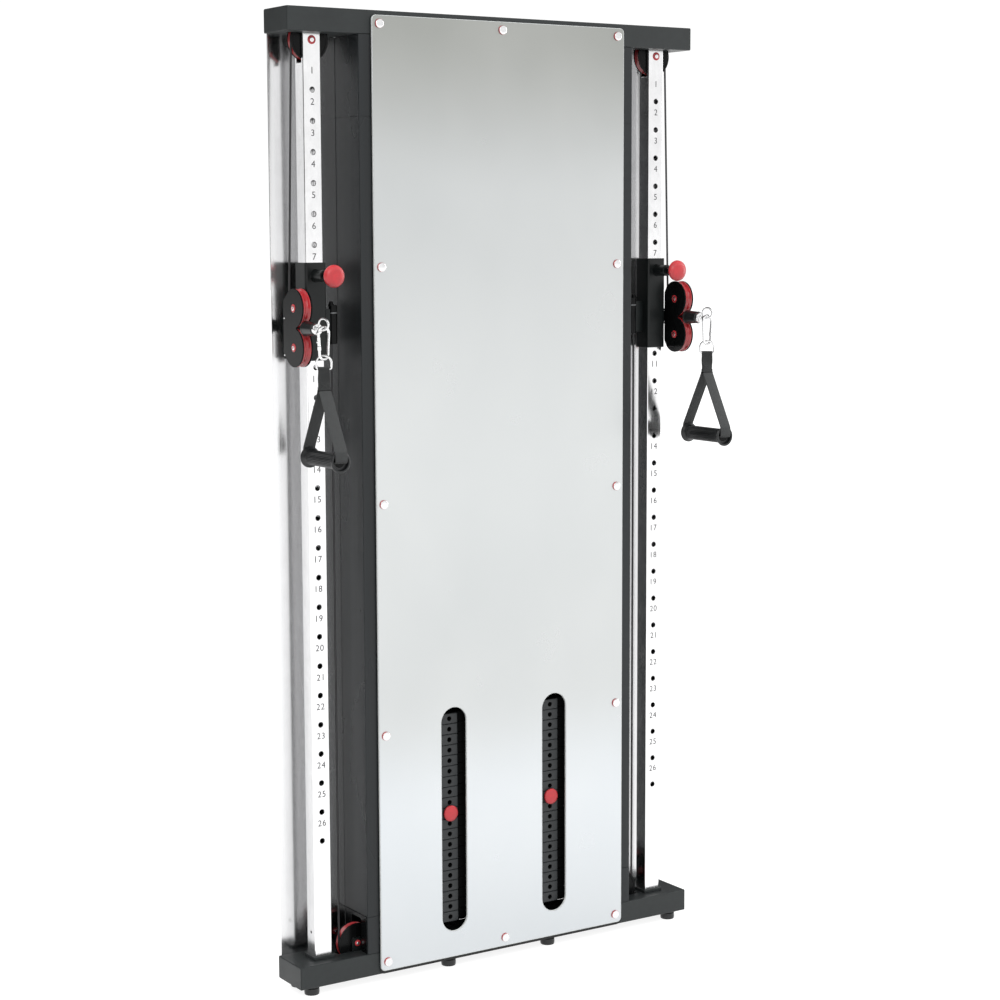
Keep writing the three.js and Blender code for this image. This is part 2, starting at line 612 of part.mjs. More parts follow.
// Upright with its index holes, the notch for the top pulley and the axle bolt across it.
function upright() {
  const halfWidth = UPRIGHT_WIDTH / 2;
  const back = UPRIGHT_FRONT + UPRIGHT_DEPTH;
  const bottom = BEAM_HEIGHT + PLINTH_HEIGHT + FIT_GAP;
  const outside = box([UPRIGHT_X - halfWidth, UPRIGHT_FRONT, bottom],
    [UPRIGHT_X + halfWidth, back, PANEL_TOP]);
  const inside = box([UPRIGHT_X - halfWidth + UPRIGHT_WALL, UPRIGHT_FRONT + UPRIGHT_WALL, bottom - OVERRUN],
    [UPRIGHT_X + halfWidth - UPRIGHT_WALL, back - UPRIGHT_WALL, PANEL_TOP + OVERRUN]);
  let tube = outside.subtract(inside);
  for (let i = 0; i < HOLE_COUNT; i += 1) {
    const z = FIRST_HOLE_Z - i * HOLE_PITCH;
    tube = tube.subtract(rod([UPRIGHT_X, UPRIGHT_FRONT - OVERRUN, z],
      [UPRIGHT_X, UPRIGHT_FRONT + UPRIGHT_WALL + OVERRUN, z], HOLE_RADIUS, CABLE_SIDES));
  }
  const notchLow = TOP_PULLEY_Z - RIM_RADIUS - SLOT_MARGIN;
  const notch = pulleySlot(UPRIGHT_X, RIM_RADIUS, notchLow, PANEL_TOP + OVERRUN);
  const axle = rod([UPRIGHT_X, UPRIGHT_FRONT - AXLE_HEAD_LENGTH / 2, TOP_PULLEY_Z],
    [UPRIGHT_X, back - UPRIGHT_WALL / 2, TOP_PULLEY_Z], AXLE_RADIUS);
  const head = rod([UPRIGHT_X, UPRIGHT_FRONT - AXLE_HEAD_LENGTH, TOP_PULLEY_Z],
    [UPRIGHT_X, UPRIGHT_FRONT + UPRIGHT_WALL / 2, TOP_PULLEY_Z], AXLE_HEAD_RADIUS);
  return tube.subtract(notch).add(axle).add(head);
}

// A column of stacked plates: bevelled edges in front, a hole through each nose, two rod holes.
function plates(count, bottom, withStem) {
  const stacked = (front, back) => {
    const outline = [[back, bottom], [front + PLATE_BEVEL, bottom]];
    for (let i = 0; i < count; i += 1) {
      const low = bottom + i * PLATE_PITCH;
      const high = low + PLATE_PITCH;
      outline.push([front, low + PLATE_BEVEL], [front, high - PLATE_BEVEL], [front + PLATE_BEVEL, high]);
    }
    outline.push([back, bottom + count * PLATE_PITCH]);
    return outline.map(([y, z]) => new THREE.Vector2(y, z));
  };
  const body = sidePlate(stacked(PLATE_FRONT, PLATE_BACK),
    STACK_X - PLATE_WIDTH / 2, STACK_X + PLATE_WIDTH / 2);
  const nose = sidePlate(stacked(NOSE_FRONT, PLATE_FRONT + 2 * PLATE_BEVEL),
    STACK_X - NOSE_WIDTH / 2, STACK_X + NOSE_WIDTH / 2);
  let column = body.add(nose);
  const top = bottom + count * PLATE_PITCH;
  for (const x of [STACK_X - ROD_SPREAD, STACK_X + ROD_SPREAD]) {
    column = column.subtract(rod([x, ROD_Y, bottom - OVERRUN], [x, ROD_Y, top + OVERRUN],
      boreFor(ROD_RADIUS, COARSE), COARSE));
  }
  if (!withStem) {
    const halfWidth = STEM_WIDTH / 2 + STEM_CLEARANCE;
    const halfDepth = STEM_DEPTH / 2 + STEM_CLEARANCE;
    column = column.subtract(box([STACK_X - halfWidth, CABLE_Y - halfDepth, bottom - OVERRUN],
      [STACK_X + halfWidth, CABLE_Y + halfDepth, top + OVERRUN]));
  }
  return column;
}

// The pin holes run from the nose through the stem.
function pinHoles(count, bottom, end) {
  let holes = null;
  for (let i = 0; i < count; i += 1) {
    const z = bottom + (i + 0.5) * PLATE_PITCH;
    const hole = rod([STACK_X, NOSE_FRONT - OVERRUN, z],
      [STACK_X, end, z], PIN_HOLE_RADIUS, WIRE);
    holes = holes ? holes.add(hole) : hole;
  }
  return holes;
}

// The lifted half: ten plates on the drilled stem, with the fork that holds the stack pulley.
function stackLifted() {
  const stem = box([STACK_X - STEM_WIDTH / 2, CABLE_Y - STEM_DEPTH / 2, STACK_BOTTOM + PLATE_GAP],
    [STACK_X + STEM_WIDTH / 2, CABLE_Y + STEM_DEPTH / 2, STACK_TOP + HEAD_PLATE / 2]);
  const depth = CHEEK_INNER_Y + CHEEK_SHEET;
  const headPlate = box([STACK_X - HEAD_HALF_WIDTH, CABLE_Y - depth, STACK_TOP - PLATE_GAP],
    [STACK_X + HEAD_HALF_WIDTH, CABLE_Y + depth, STACK_TOP + HEAD_PLATE]);
  const fork = pulleyCheeks(STACK_X, STACK_PULLEY_Z, STACK_TOP + HEAD_PLATE / 2, AXLE_RADIUS);
  const bottom = REST_TOP + PLATE_GAP;
  return plates(LIFTED_COUNT, bottom, true).add(stem)
    .subtract(pinHoles(PLATE_COUNT, STACK_BOTTOM + PLATE_GAP, CABLE_Y + STEM_DEPTH / 2 + OVERRUN))
    .add(headPlate).add(fork);
}

function stackRest() {
  const count = PLATE_COUNT - LIFTED_COUNT;
  return plates(count, STACK_BOTTOM, false).subtract(pinHoles(count, STACK_BOTTOM, CABLE_Y));
}

// Guide rods, the base plate across them and the rubber bumpers under the plates.
function guideRods() {
  const bumperTop = STACK_BOTTOM - FIT_GAP;
  const plateBottom = BEAM_HEIGHT + FIT_GAP;
  let assembly = box(
    [STACK_X - ROD_SPREAD - BUMPER_RADIUS, ROD_Y - BASE_PLATE_DEPTH / 2, plateBottom],
    [STACK_X + ROD_SPREAD + BUMPER_RADIUS, Math.min(ROD_Y + BASE_PLATE_DEPTH / 2, FRAME_DEPTH - 2 * SHEET),
      plateBottom + BASE_PLATE],
  );
  for (const x of [STACK_X - ROD_SPREAD, STACK_X + ROD_SPREAD]) {
    assembly = assembly.add(rod([x, ROD_Y, plateBottom], [x, ROD_Y, PANEL_TOP], ROD_RADIUS, COARSE));
    assembly = assembly.add(rod([x, ROD_Y, plateBottom + BASE_PLATE / 2], [x, ROD_Y, bumperTop],
      BUMPER_RADIUS, COARSE));
  }
  return assembly;
}

function selectorPin() {
  const tip = CABLE_Y + STEM_DEPTH / 2 + SELECTOR_REACH;
  const back = NOSE_FRONT - 2 * FIT_GAP;
  const z = REST_TOP + PLATE_GAP + PLATE_PITCH / 2;
  return turned([
    [0, SELECTOR_KNOB_FRONT], [SELECTOR_KNOB_RADIUS - SELECTOR_KNOB_ROUND, SELECTOR_KNOB_FRONT],
    [SELECTOR_KNOB_RADIUS, SELECTOR_KNOB_FRONT + SELECTOR_KNOB_ROUND], [SELECTOR_KNOB_RADIUS, back],
    [SELECTOR_RADIUS, back], [SELECTOR_RADIUS, tip], [0, tip],
  ], [0, 1, 0], [STACK_X, 0, z]);
}

// Carriage sleeve with the pin housing, the cable anchor inboard and the hinge lug outboard.
function carriageSleeve() {
  const outside = box([UPRIGHT_X - SLEEVE_HALF, SLEEVE_FRONT, SLEEVE_BOTTOM],
    [UPRIGHT_X + SLEEVE_HALF, CABLE_Y + SLEEVE_HALF, SLEEVE_TOP]);
  const halfWidth = UPRIGHT_WIDTH / 2 + SLEEVE_CLEARANCE;
  const halfDepth = UPRIGHT_DEPTH / 2 + SLEEVE_CLEARANCE;
  const inside = box([UPRIGHT_X - halfWidth, CABLE_Y - halfDepth, SLEEVE_BOTTOM - OVERRUN],
    [UPRIGHT_X + halfWidth, CABLE_Y + halfDepth, SLEEVE_TOP + OVERRUN]);
  const housing = rod([UPRIGHT_X, SLEEVE_FRONT - HOUSING_LENGTH, PIN_Z],
    [UPRIGHT_X, SLEEVE_FRONT + SLEEVE_CLEARANCE, PIN_Z], HOUSING_RADIUS);
  const bore = rod([UPRIGHT_X, SLEEVE_FRONT - HOUSING_LENGTH - OVERRUN, PIN_Z],
    [UPRIGHT_X, UPRIGHT_FRONT, PIN_Z], boreFor(PULL_SHAFT_RADIUS, FINE));
  const anchorX = CARRIAGE_CABLE_X - ANCHOR_OFFSET;
  const anchorLow = SLEEVE_BOTTOM + ANCHOR_LOW;
  const anchor = box([anchorX - ANCHOR_WIDTH / 2, CABLE_Y - ANCHOR_DEPTH / 2, anchorLow],
    [anchorX + ANCHOR_WIDTH / 2, CABLE_Y + ANCHOR_DEPTH / 2, anchorLow + ANCHOR_HEIGHT]);
  const anchorBolt = rod([CARRIAGE_CABLE_X, CABLE_Y, anchorLow + ANCHOR_HEIGHT / 2],
    [CARRIAGE_CABLE_X, CABLE_Y, anchorLow + ANCHOR_HEIGHT + ANCHOR_BOLT_HEIGHT], ANCHOR_BOLT_RADIUS, WIRE);
  const web = box([anchorX, CABLE_Y - WEB_THICKNESS / 2, anchorLow + WEB_LIFT],
    [UPRIGHT_X - halfWidth - SLEEVE_CLEARANCE, CABLE_Y + WEB_THICKNESS / 2,
      anchorLow + WEB_LIFT + WEB_HEIGHT]);
  const lugFront = CABLE_Y + HINGE_WEB_SETBACK;
  const lugStart = UPRIGHT_X + halfWidth + SLEEVE_CLEARANCE;
  const lug = box([lugStart, lugFront, BLOCK_Z - HINGE_LUG_HEIGHT / 2],
    [UPRIGHT_X + SLEEVE_HALF + HINGE_LUG_LENGTH, lugFront + WEB_THICKNESS, BLOCK_Z + HINGE_LUG_HEIGHT / 2]);
  const post = rod([BLOCK_X, CABLE_Y, BLOCK_Z - HINGE_POST_HALF_HEIGHT],
    [BLOCK_X, CABLE_Y, BLOCK_Z + HINGE_POST_HALF_HEIGHT], HINGE_POST_RADIUS);
  const hingeWeb = box([lugStart, lugFront, BLOCK_Z - HINGE_POST_HALF_HEIGHT],
    [BLOCK_X - HINGE_PIN_RADIUS, lugFront + WEB_THICKNESS, BLOCK_Z + HINGE_POST_HALF_HEIGHT]);
  const hingeBore = rod([BLOCK_X, CABLE_Y, BLOCK_Z - HINGE_POST_HALF_HEIGHT - OVERRUN],
    [BLOCK_X, CABLE_Y, BLOCK_Z + HINGE_POST_HALF_HEIGHT + OVERRUN], boreFor(HINGE_PIN_RADIUS, FINE));
  return outside.add(housing).add(anchor).add(anchorBolt).add(web).add(lug).add(post).add(hingeWeb)
    .subtract(inside).subtract(bore).subtract(hingeBore);
}

// Spring pull pin: shaft in the housing, neck, and a mushroom knob.
function pullPin() {
  const tip = UPRIGHT_FRONT - SLEEVE_CLEARANCE;
  const neckBack = SLEEVE_FRONT - HOUSING_LENGTH - FIT_GAP;
  const knobBack = neckBack - PULL_NECK_LENGTH;
  const front = knobBack - PULL_KNOB_LENGTH;
  return turned([
    [0, front], [PULL_KNOB_RADIUS - PULL_KNOB_ROUND, front],
    [PULL_KNOB_RADIUS, front + PULL_KNOB_ROUND], [PULL_NECK_RADIUS, front + PULL_KNOB_ROUND + PULL_KNOB_RIM],
    [PULL_NECK_RADIUS, neckBack], [PULL_SHAFT_RADIUS, neckBack], [PULL_SHAFT_RADIUS, tip], [0, tip],
  ], [0, 1, 0], [UPRIGHT_X, 0, PIN_Z]);
}

// Outline of a block cheek: two round lobes, a front waist and a straight rear edge.
function cheekOutline(rear) {
  const shape = new THREE.Shape();
  const radius = BLOCK_LOBE_RADIUS;
  const diagonal = radius * Math.SQRT1_2;
  const top = BLOCK_PITCH_RADIUS + diagonal;
  shape.moveTo(-diagonal, 0);
  shape.absarc(0, -BLOCK_PITCH_RADIUS, radius, Math.PI * 0.75, Math.PI * 1.75, false);
  shape.lineTo(rear, -top + BLOCK_REAR_CUT);
  shape.lineTo(rear, top - BLOCK_REAR_CUT);
  shape.absarc(0, BLOCK_PITCH_RADIUS, radius, Math.PI * 0.25, Math.PI * 1.25, false);
  shape.closePath();
  return shape;
}

// Block frame: cheeks, hinge ears with their pin, and the two pulley axles.
function blockFrame() {
  const cheek = (rear, fromX) => sidePlate(cheekOutline(rear), fromX, fromX + BLOCK_SHEET)
    .translate([0, BLOCK_AXLE_Y, BLOCK_Z]);
  const outerX = BLOCK_X + BLOCK_HALF_THICKNESS - BLOCK_SHEET;
  const innerX = BLOCK_X - BLOCK_HALF_THICKNESS;
  let frame = cheek(BLOCK_PITCH_RADIUS + BLOCK_OUTER_REAR, outerX)
    .add(cheek(BLOCK_PITCH_RADIUS - BLOCK_INNER_REAR, innerX));
  const earFront = CABLE_Y - HINGE_EAR_FRONT;
  const earLow = HINGE_POST_HALF_HEIGHT + FIT_GAP;
  for (const [low, high] of [[earLow, earLow + HINGE_EAR_HEIGHT], [-earLow - HINGE_EAR_HEIGHT, -earLow]]) {
    frame = frame.add(box([innerX + BLOCK_SHEET / 2, earFront, BLOCK_Z + low],
      [outerX + BLOCK_SHEET / 2, earFront + HINGE_EAR_DEPTH, BLOCK_Z + high]));
  }
  const pinReach = earLow + HINGE_EAR_HEIGHT / 2;
  frame = frame.add(rod([BLOCK_X, CABLE_Y, BLOCK_Z - pinReach], [BLOCK_X, CABLE_Y, BLOCK_Z + pinReach],
    HINGE_PIN_RADIUS, COARSE));
  for (const z of [UPPER_AXLE_Z, LOWER_AXLE_Z]) {
    frame = frame.add(rod([innerX + BLOCK_SHEET / 2, BLOCK_AXLE_Y, z],
      [outerX + BLOCK_SHEET / 2, BLOCK_AXLE_Y, z], BLOCK_AXLE_RADIUS, COARSE));
  }
  return frame;
}

// Cable end: the cable round the upper block pulley, the rubber stop, the collar and the eye.
function cableStop() {
  const rise = BLOCK_Z + STOP_RADIUS;
  const drop = UPPER_AXLE_Z - rise;
  const lobeFront = BLOCK_AXLE_Y - Math.sqrt(BLOCK_LOBE_RADIUS ** 2 - drop ** 2);
  const stopBack = lobeFront - STOP_GAP;
  const stopFront = stopBack - STOP_LENGTH;
  const collarFront = stopFront - COLLAR_LENGTH;
  const points = [new THREE.Vector3(BLOCK_X, stopBack - STOP_GAP, BLOCK_Z)];
  for (let i = 0; i <= ARC_STEPS; i += 1) {
    const angle = (i / ARC_STEPS) * (Math.PI / 2);
    points.push(new THREE.Vector3(BLOCK_X, BLOCK_AXLE_Y + BLOCK_PITCH_RADIUS * Math.sin(angle),
      UPPER_AXLE_Z - BLOCK_PITCH_RADIUS * Math.cos(angle)));
  }
  points.push(new THREE.Vector3(BLOCK_X, CABLE_Y, UPPER_AXLE_Z + CABLE_STUB));
  const ringRadius = EYE_HOLE_RADIUS + EYE_WIRE_RADIUS;
  const ring = new THREE.TorusGeometry(ringRadius, EYE_WIRE_RADIUS, WIRE, FINE);
  ring.rotateY(Math.PI / 2);
  ring.translate(BLOCK_X, EYE_Y, EYE_Z);
  const neckEnd = EYE_Y + ringRadius * Math.SQRT1_2;
  return cable(points)
    .add(rod([BLOCK_X, stopBack, BLOCK_Z], [BLOCK_X, stopFront, BLOCK_Z], STOP_RADIUS, FINE, STOP_END_RADIUS))
    .add(rod([BLOCK_X, stopFront + STOP_GAP, BLOCK_Z], [BLOCK_X, collarFront, BLOCK_Z], COLLAR_RADIUS))
    .add(rod([BLOCK_X, collarFront + STOP_GAP, BLOCK_Z], [BLOCK_X, neckEnd, BLOCK_Z],
      EYE_NECK_RADIUS, COARSE))
    .add(solid(ring));
}

// A closed wire link in its own XZ plane, centred on x = 0, between two heights.
function link(topWidth, bottomWidth, bottom, top, wire) {
  const outlinePoints = (inset) => {
    const path = new THREE.Path();
    const topRadius = topWidth / 2 - inset;
    const bottomRadius = bottomWidth / 2 - inset;
    path.absarc(0, top - topWidth / 2, topRadius, 0, Math.PI, false);
    path.absarc(0, bottom + bottomWidth / 2, bottomRadius, Math.PI, 2 * Math.PI, false);
    path.closePath();
    return path.getPoints(ARC_STEPS);
  };
  const bevel = wire * (2 - Math.SQRT2);
  const outer = new THREE.Shape(outlinePoints(bevel));
  outer.holes.push(new THREE.Path(outlinePoints(2 * wire - bevel)));
  const geometry = new THREE.ExtrudeGeometry(outer, {
    depth: 2 * (wire - bevel), bevelEnabled: true, bevelThickness: bevel, bevelSize: bevel, bevelSegments: 1,
  });
  geometry.rotateX(Math.PI / 2);
  geometry.translate(0, wire - bevel, 0);
  return solid(geometry);
}

function snapHook() {
  const hookTop = HOOK_AXIS_Z + HOOK_WIRE_RADIUS;
  return link(HOOK_TOP_WIDTH, HOOK_BOTTOM_WIDTH, HOOK_BOTTOM, hookTop, HOOK_WIRE_RADIUS)
    .translate([BLOCK_X, EYE_Y, 0]);
}

// D-ring, webbing neck and legs, and the core that the grip turns on. The ring hangs turned, so
// that it links with the hook, and the same way round on both sides.
function strap(sign) {
  const ring = link(RING_WIDTH, RING_BOTTOM_WIDTH, RING_TOP - RING_HEIGHT, RING_TOP, RING_WIRE_RADIUS);
  const half = NECK_THICKNESS / 2;
  const split = NECK_TOP - NECK_HEIGHT / 2;
  const neckTop = box([-NECK_TOP_WIDTH / 2, -half, split], [NECK_TOP_WIDTH / 2, half, NECK_TOP]);
  const upper = ring.add(neckTop).rotate([0, 0, -sign * RING_TURN_DEGREES]);
  const neck = box([-NECK_WIDTH / 2, -half, NECK_BOTTOM], [NECK_WIDTH / 2, half, split]);
  const reach = GRIP_LENGTH / 2 + GRIP_END_GAP;
  const outer = reach + LEG_THICKNESS;
  const knee = GRIP_Z + GRIP_FLANGE_RADIUS + LEG_THICKNESS;
  let webs = neck;
  for (const way of [1, -1]) {
    webs = webs.add(sidePlate([
      [0, NECK_BOTTOM + LEG_THICKNESS], [way * half, NECK_BOTTOM + LEG_THICKNESS], [way * outer, knee],
      [way * outer, GRIP_Z - LEG_TAIL], [way * reach, GRIP_Z - LEG_TAIL],
      [way * reach, knee - LEG_THICKNESS / 2],
      [0, NECK_BOTTOM - LEG_THICKNESS],
    ].map(([y, z]) => new THREE.Vector2(y, z)), -LEG_WIDTH / 2, LEG_WIDTH / 2));
  }
  const core = rod([0, -outer + LEG_THICKNESS / 2, GRIP_Z], [0, outer - LEG_THICKNESS / 2, GRIP_Z],
    GRIP_CORE_RADIUS, COARSE);
  return upper.add(webs).add(core).translate([BLOCK_X, EYE_Y, 0]);
}

function grip() {
  const half = GRIP_LENGTH / 2;
  const bore = boreFor(GRIP_CORE_RADIUS, FINE);
  return turned([
    [bore, -half], [GRIP_FLANGE_RADIUS, -half], [GRIP_FLANGE_RADIUS, GRIP_FLANGE - half],
    [GRIP_RADIUS, 2 * GRIP_FLANGE - half], [GRIP_RADIUS, half - 2 * GRIP_FLANGE],
    [GRIP_FLANGE_RADIUS, half - GRIP_FLANGE], [GRIP_FLANGE_RADIUS, half], [bore, half], [bore, -half],
  ], [0, 1, 0], [BLOCK_X, EYE_Y, GRIP_Z]);
}

// The pieces that the cabinet has once.
place('bottom_beam', bottomBeam(), charcoal);
place('top_beam', topBeam(), charcoal, [0, 0, UPPER_BEAM_BOTTOM]);
place('mirror_glass', mirrorGlass(), mirror, [0, GLASS_FRONT, MIRROR_BOTTOM]);
place('mirror_backing', mirrorBacking(), black, [0, BACKING_FRONT, MIRROR_BOTTOM]);
place('back_panel', box([FIT_GAP - CASING_HALF_WIDTH, FRAME_DEPTH - SHEET, PANEL_BOTTOM],
  [CASING_HALF_WIDTH - FIT_GAP, FRAME_DEPTH, PANEL_TOP]), charcoal, [0, FRAME_DEPTH, PANEL_BOTTOM]);

const bigPulley = (x, z, sides) => pulley([0, 1, 0], [x, CABLE_Y, z], PITCH_RADIUS, RIM_HEIGHT,
  PULLEY_WIDTH / 2, AXLE_RADIUS, sides);
const blockPulley = (z) => pulley([1, 0, 0], [BLOCK_X, BLOCK_AXLE_Y, z], BLOCK_PITCH_RADIUS, BLOCK_RIM_HEIGHT,
  BLOCK_PULLEY_HALF_WIDTH, BLOCK_AXLE_RADIUS, FINE);
const point = (x, z) => new THREE.Vector3(x, CABLE_Y, z);

// The pieces of one side of the cabinet.
for (const side of SIDES) {
  placeSide(side, 'upright', upright(), chrome, [UPRIGHT_X, CABLE_Y, BEAM_HEIGHT + PLINTH_HEIGHT]);
  placeSide(side, 'rear_plate', box([CASING_HALF_WIDTH + FIT_GAP, FRAME_DEPTH - SHEET, PANEL_BOTTOM],
    [FRAME_WIDTH / 2 - REAR_PLATE_EDGE, FRAME_DEPTH, PANEL_TOP]), stainless,
  [UPRIGHT_X, FRAME_DEPTH, PANEL_BOTTOM]);
  placeSide(side, 'casing_side', casingSide(), charcoal, [CASING_HALF_WIDTH, 0, PANEL_BOTTOM]);
  placeSide(side, 'top_pulley', bigPulley(UPRIGHT_X, TOP_PULLEY_Z, FINE), red,
    [UPRIGHT_X, CABLE_Y, TOP_PULLEY_Z]);
  placeSide(side, 'bottom_pulley', bigPulley(BOTTOM_PULLEY_X, BOTTOM_PULLEY_Z, FINE), red,
    [BOTTOM_PULLEY_X, CABLE_Y, BOTTOM_PULLEY_Z]);
  placeSide(side, 'header_pulley_outer', bigPulley(HEADER_OUTER_X, TOP_PULLEY_Z, COARSE), red,
    [HEADER_OUTER_X, CABLE_Y, TOP_PULLEY_Z]);
  placeSide(side, 'header_pulley_inner', bigPulley(HEADER_INNER_X, TOP_PULLEY_Z, COARSE), red,
    [HEADER_INNER_X, CABLE_Y, TOP_PULLEY_Z]);
  placeSide(side, 'tail_pulley', pulley([0, 1, 0], [TAIL_PULLEY_X, CABLE_Y, TAIL_PULLEY_Z], TAIL_PITCH_RADIUS,
    TAIL_RIM_HEIGHT, PULLEY_WIDTH / 2, TAIL_AXLE_RADIUS, COARSE), red,
  [TAIL_PULLEY_X, CABLE_Y, TAIL_PULLEY_Z]);
  placeSide(side, 'stack_pulley', bigPulley(STACK_X, STACK_PULLEY_Z, COARSE), red,
    [STACK_X, CABLE_Y, STACK_PULLEY_Z]);
  placeSide(side, 'stack_lifted', stackLifted(), castIron, [STACK_X, CABLE_Y, REST_TOP]);
  placeSide(side, 'stack_rest', stackRest(), castIron, [STACK_X, CABLE_Y, STACK_BOTTOM]);
  placeSide(side, 'guide_rods', guideRods(), chrome, [STACK_X, ROD_Y, BEAM_HEIGHT]);
  placeSide(side, 'selector_pin', selectorPin(), red, [STACK_X, NOSE_FRONT, REST_TOP]);
  placeSide(side, 'carriage_sleeve', carriageSleeve(), black, [UPRIGHT_X, CABLE_Y, PIN_Z]);
  placeSide(side, 'pull_pin', pullPin(), red, [UPRIGHT_X, SLEEVE_FRONT, PIN_Z]);
  placeSide(side, 'block_frame', blockFrame(), black, [BLOCK_X, CABLE_Y, BLOCK_Z]);
  placeSide(side, 'block_pulley_upper', blockPulley(UPPER_AXLE_Z), red,
    [BLOCK_X, BLOCK_AXLE_Y, UPPER_AXLE_Z]);
  placeSide(side, 'block_pulley_lower', blockPulley(LOWER_AXLE_Z), red,
    [BLOCK_X, BLOCK_AXLE_Y, LOWER_AXLE_Z]);
  placeSide(side, 'cable_stop', cableStop(), rubber, [BLOCK_X, BLOCK_AXLE_Y, BLOCK_Z]);
  placeSide(side, 'snap_hook', snapHook(), chrome, [BLOCK_X, EYE_Y, HOOK_AXIS_Z]);
  placeSide(side, 'strap', strap(side.sign), webbing, [BLOCK_X, EYE_Y, NECK_TOP]);
  placeSide(side, 'grip', grip(), rubber, [BLOCK_X, EYE_Y, GRIP_Z]);

  // Cable: up the outside of the carriage and over the header, round the stack pulley, back under
  // the floor beam and up to the anchor on the carriage.
  placeSide(side, 'cable_outer_fall', cable([
    point(OUTER_FALL_X, CABLE_TOP - FIT_GAP),
    point(BLOCK_X, UPPER_AXLE_Z + CABLE_STUB + FIT_GAP),
  ]), rubber, [OUTER_FALL_X, CABLE_Y, TOP_PULLEY_Z]);
  placeSide(side, 'cable_header', cable([
    point(OUTER_FALL_X, CABLE_TOP),
    ...turn(UPRIGHT_X, TOP_PULLEY_Z, PITCH_RADIUS, 0, 1),
    ...turn(HEADER_OUTER_X, TOP_PULLEY_Z, PITCH_RADIUS, 1, 2),
    point(STACK_X + PITCH_RADIUS, CABLE_TOP),
  ]), rubber, [UPRIGHT_X, CABLE_Y, TOP_PULLEY_Z]);
  placeSide(side, 'cable_stack_loop', cable([
    point(STACK_X + PITCH_RADIUS, CABLE_TOP - FIT_GAP),
    ...turn(STACK_X, STACK_PULLEY_Z, PITCH_RADIUS, 0, -2),
    point(STACK_X - PITCH_RADIUS, CABLE_TOP - FIT_GAP),
  ]), rubber, [STACK_X, CABLE_Y, TOP_PULLEY_Z]);
  placeSide(side, 'cable_return', cable([
    point(STACK_X - PITCH_RADIUS, CABLE_TOP),
    ...turn(HEADER_INNER_X, TOP_PULLEY_Z, PITCH_RADIUS, 0, 2),
    ...turn(TAIL_PULLEY_X, TAIL_PULLEY_Z, TAIL_PITCH_RADIUS, 2, 3),
    ...turn(BOTTOM_PULLEY_X, BOTTOM_PULLEY_Z, PITCH_RADIUS, 3, 4),
    point(CARRIAGE_CABLE_X, BOTTOM_PULLEY_Z + CABLE_STUB),
  ]), rubber, [HEADER_INNER_X, CABLE_Y, RETURN_Z]);
  placeSide(side, 'cable_inner_fall', cable([
    point(CARRIAGE_CABLE_X, BOTTOM_PULLEY_Z + CABLE_STUB + FIT_GAP),
    point(CARRIAGE_CABLE_X, SLEEVE_BOTTOM + ANCHOR_LOW - FIT_GAP),
  ]), rubber, [CARRIAGE_CABLE_X, CABLE_Y, BOTTOM_PULLEY_Z]);
}

export default machine;
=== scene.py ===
"""Dresses the wall pulley weight stack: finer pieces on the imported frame, finishes, a studio and a camera."""

import math

import bmesh
import bpy
from bpy.props import FloatProperty, FloatVectorProperty, IntProperty, PointerProperty
from mathutils import Matrix, Vector
from mathutils.geometry import tessellate_polygon


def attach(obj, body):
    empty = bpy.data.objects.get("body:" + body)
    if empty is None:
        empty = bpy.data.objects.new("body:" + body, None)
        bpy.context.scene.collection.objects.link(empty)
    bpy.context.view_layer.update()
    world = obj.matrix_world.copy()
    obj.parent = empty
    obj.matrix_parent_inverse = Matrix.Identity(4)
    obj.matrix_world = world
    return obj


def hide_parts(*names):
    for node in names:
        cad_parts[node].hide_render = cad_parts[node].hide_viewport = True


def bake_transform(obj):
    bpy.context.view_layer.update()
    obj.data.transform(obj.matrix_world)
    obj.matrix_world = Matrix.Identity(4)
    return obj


bl_info = {
    "name": "Wall pulley weight stack",
    "version": (1, 0, 0),
    "blender": (4, 5, 0),
    "location": "View3D > Sidebar > Pulley station",
    "description": "Builds the visible pieces of a mirrored wall pulley station with two weight stacks",
    "category": "Object",
}

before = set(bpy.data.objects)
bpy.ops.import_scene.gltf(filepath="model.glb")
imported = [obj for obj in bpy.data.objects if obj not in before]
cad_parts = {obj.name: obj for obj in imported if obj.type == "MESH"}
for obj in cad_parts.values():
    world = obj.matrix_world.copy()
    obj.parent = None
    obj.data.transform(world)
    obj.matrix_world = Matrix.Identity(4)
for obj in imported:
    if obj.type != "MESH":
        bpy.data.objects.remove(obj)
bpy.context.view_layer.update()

# Sizes are millimetres in the row frame; the right-hand side is drawn and the left is its mirror image.
MM = 0.001
SIGNS = {"right": 1, "left": -1}
RIGHT = (1, 0, 0)
BACK = (0, 1, 0)
FRONT = (0, -1, 0)
UP = (0, 0, 1)

HALF_WIDTH = 560.0
FRONT_Y = 34.5
BACK_Y = 147.5
LOW_BEAM_Z = 20.0
HIGH_BEAM_Z = 2209.0
BEAM_HEIGHT = 54.0
BEAM_WALL = 3.0
PANEL_LOW = 74.3
PANEL_HIGH = 2208.7
PANEL_FRONT = 144.5
CABLE_Y = 90.5
FOOT_PLACES = tuple((x, y) for x in (520.0, 145.0) for y in (57.5, 124.5))

UPRIGHT_X = 480.0
UPRIGHT_HALF = 22.25
UPRIGHT_FRONT = 70.5
UPRIGHT_BACK = 110.5
UPRIGHT_LOW = 82.3
UPRIGHT_WALL = 3.0
FIRST_HOLE_Z = 2084.0
HOLE_PITCH = 69.08
HOLE_COUNT = 26
HOLE_RADIUS = 6.25
NUMBER_RISE = 42.8
SIDE_HOLE_Z = 136.2
SIDE_HOLE_RADIUS = 3.4

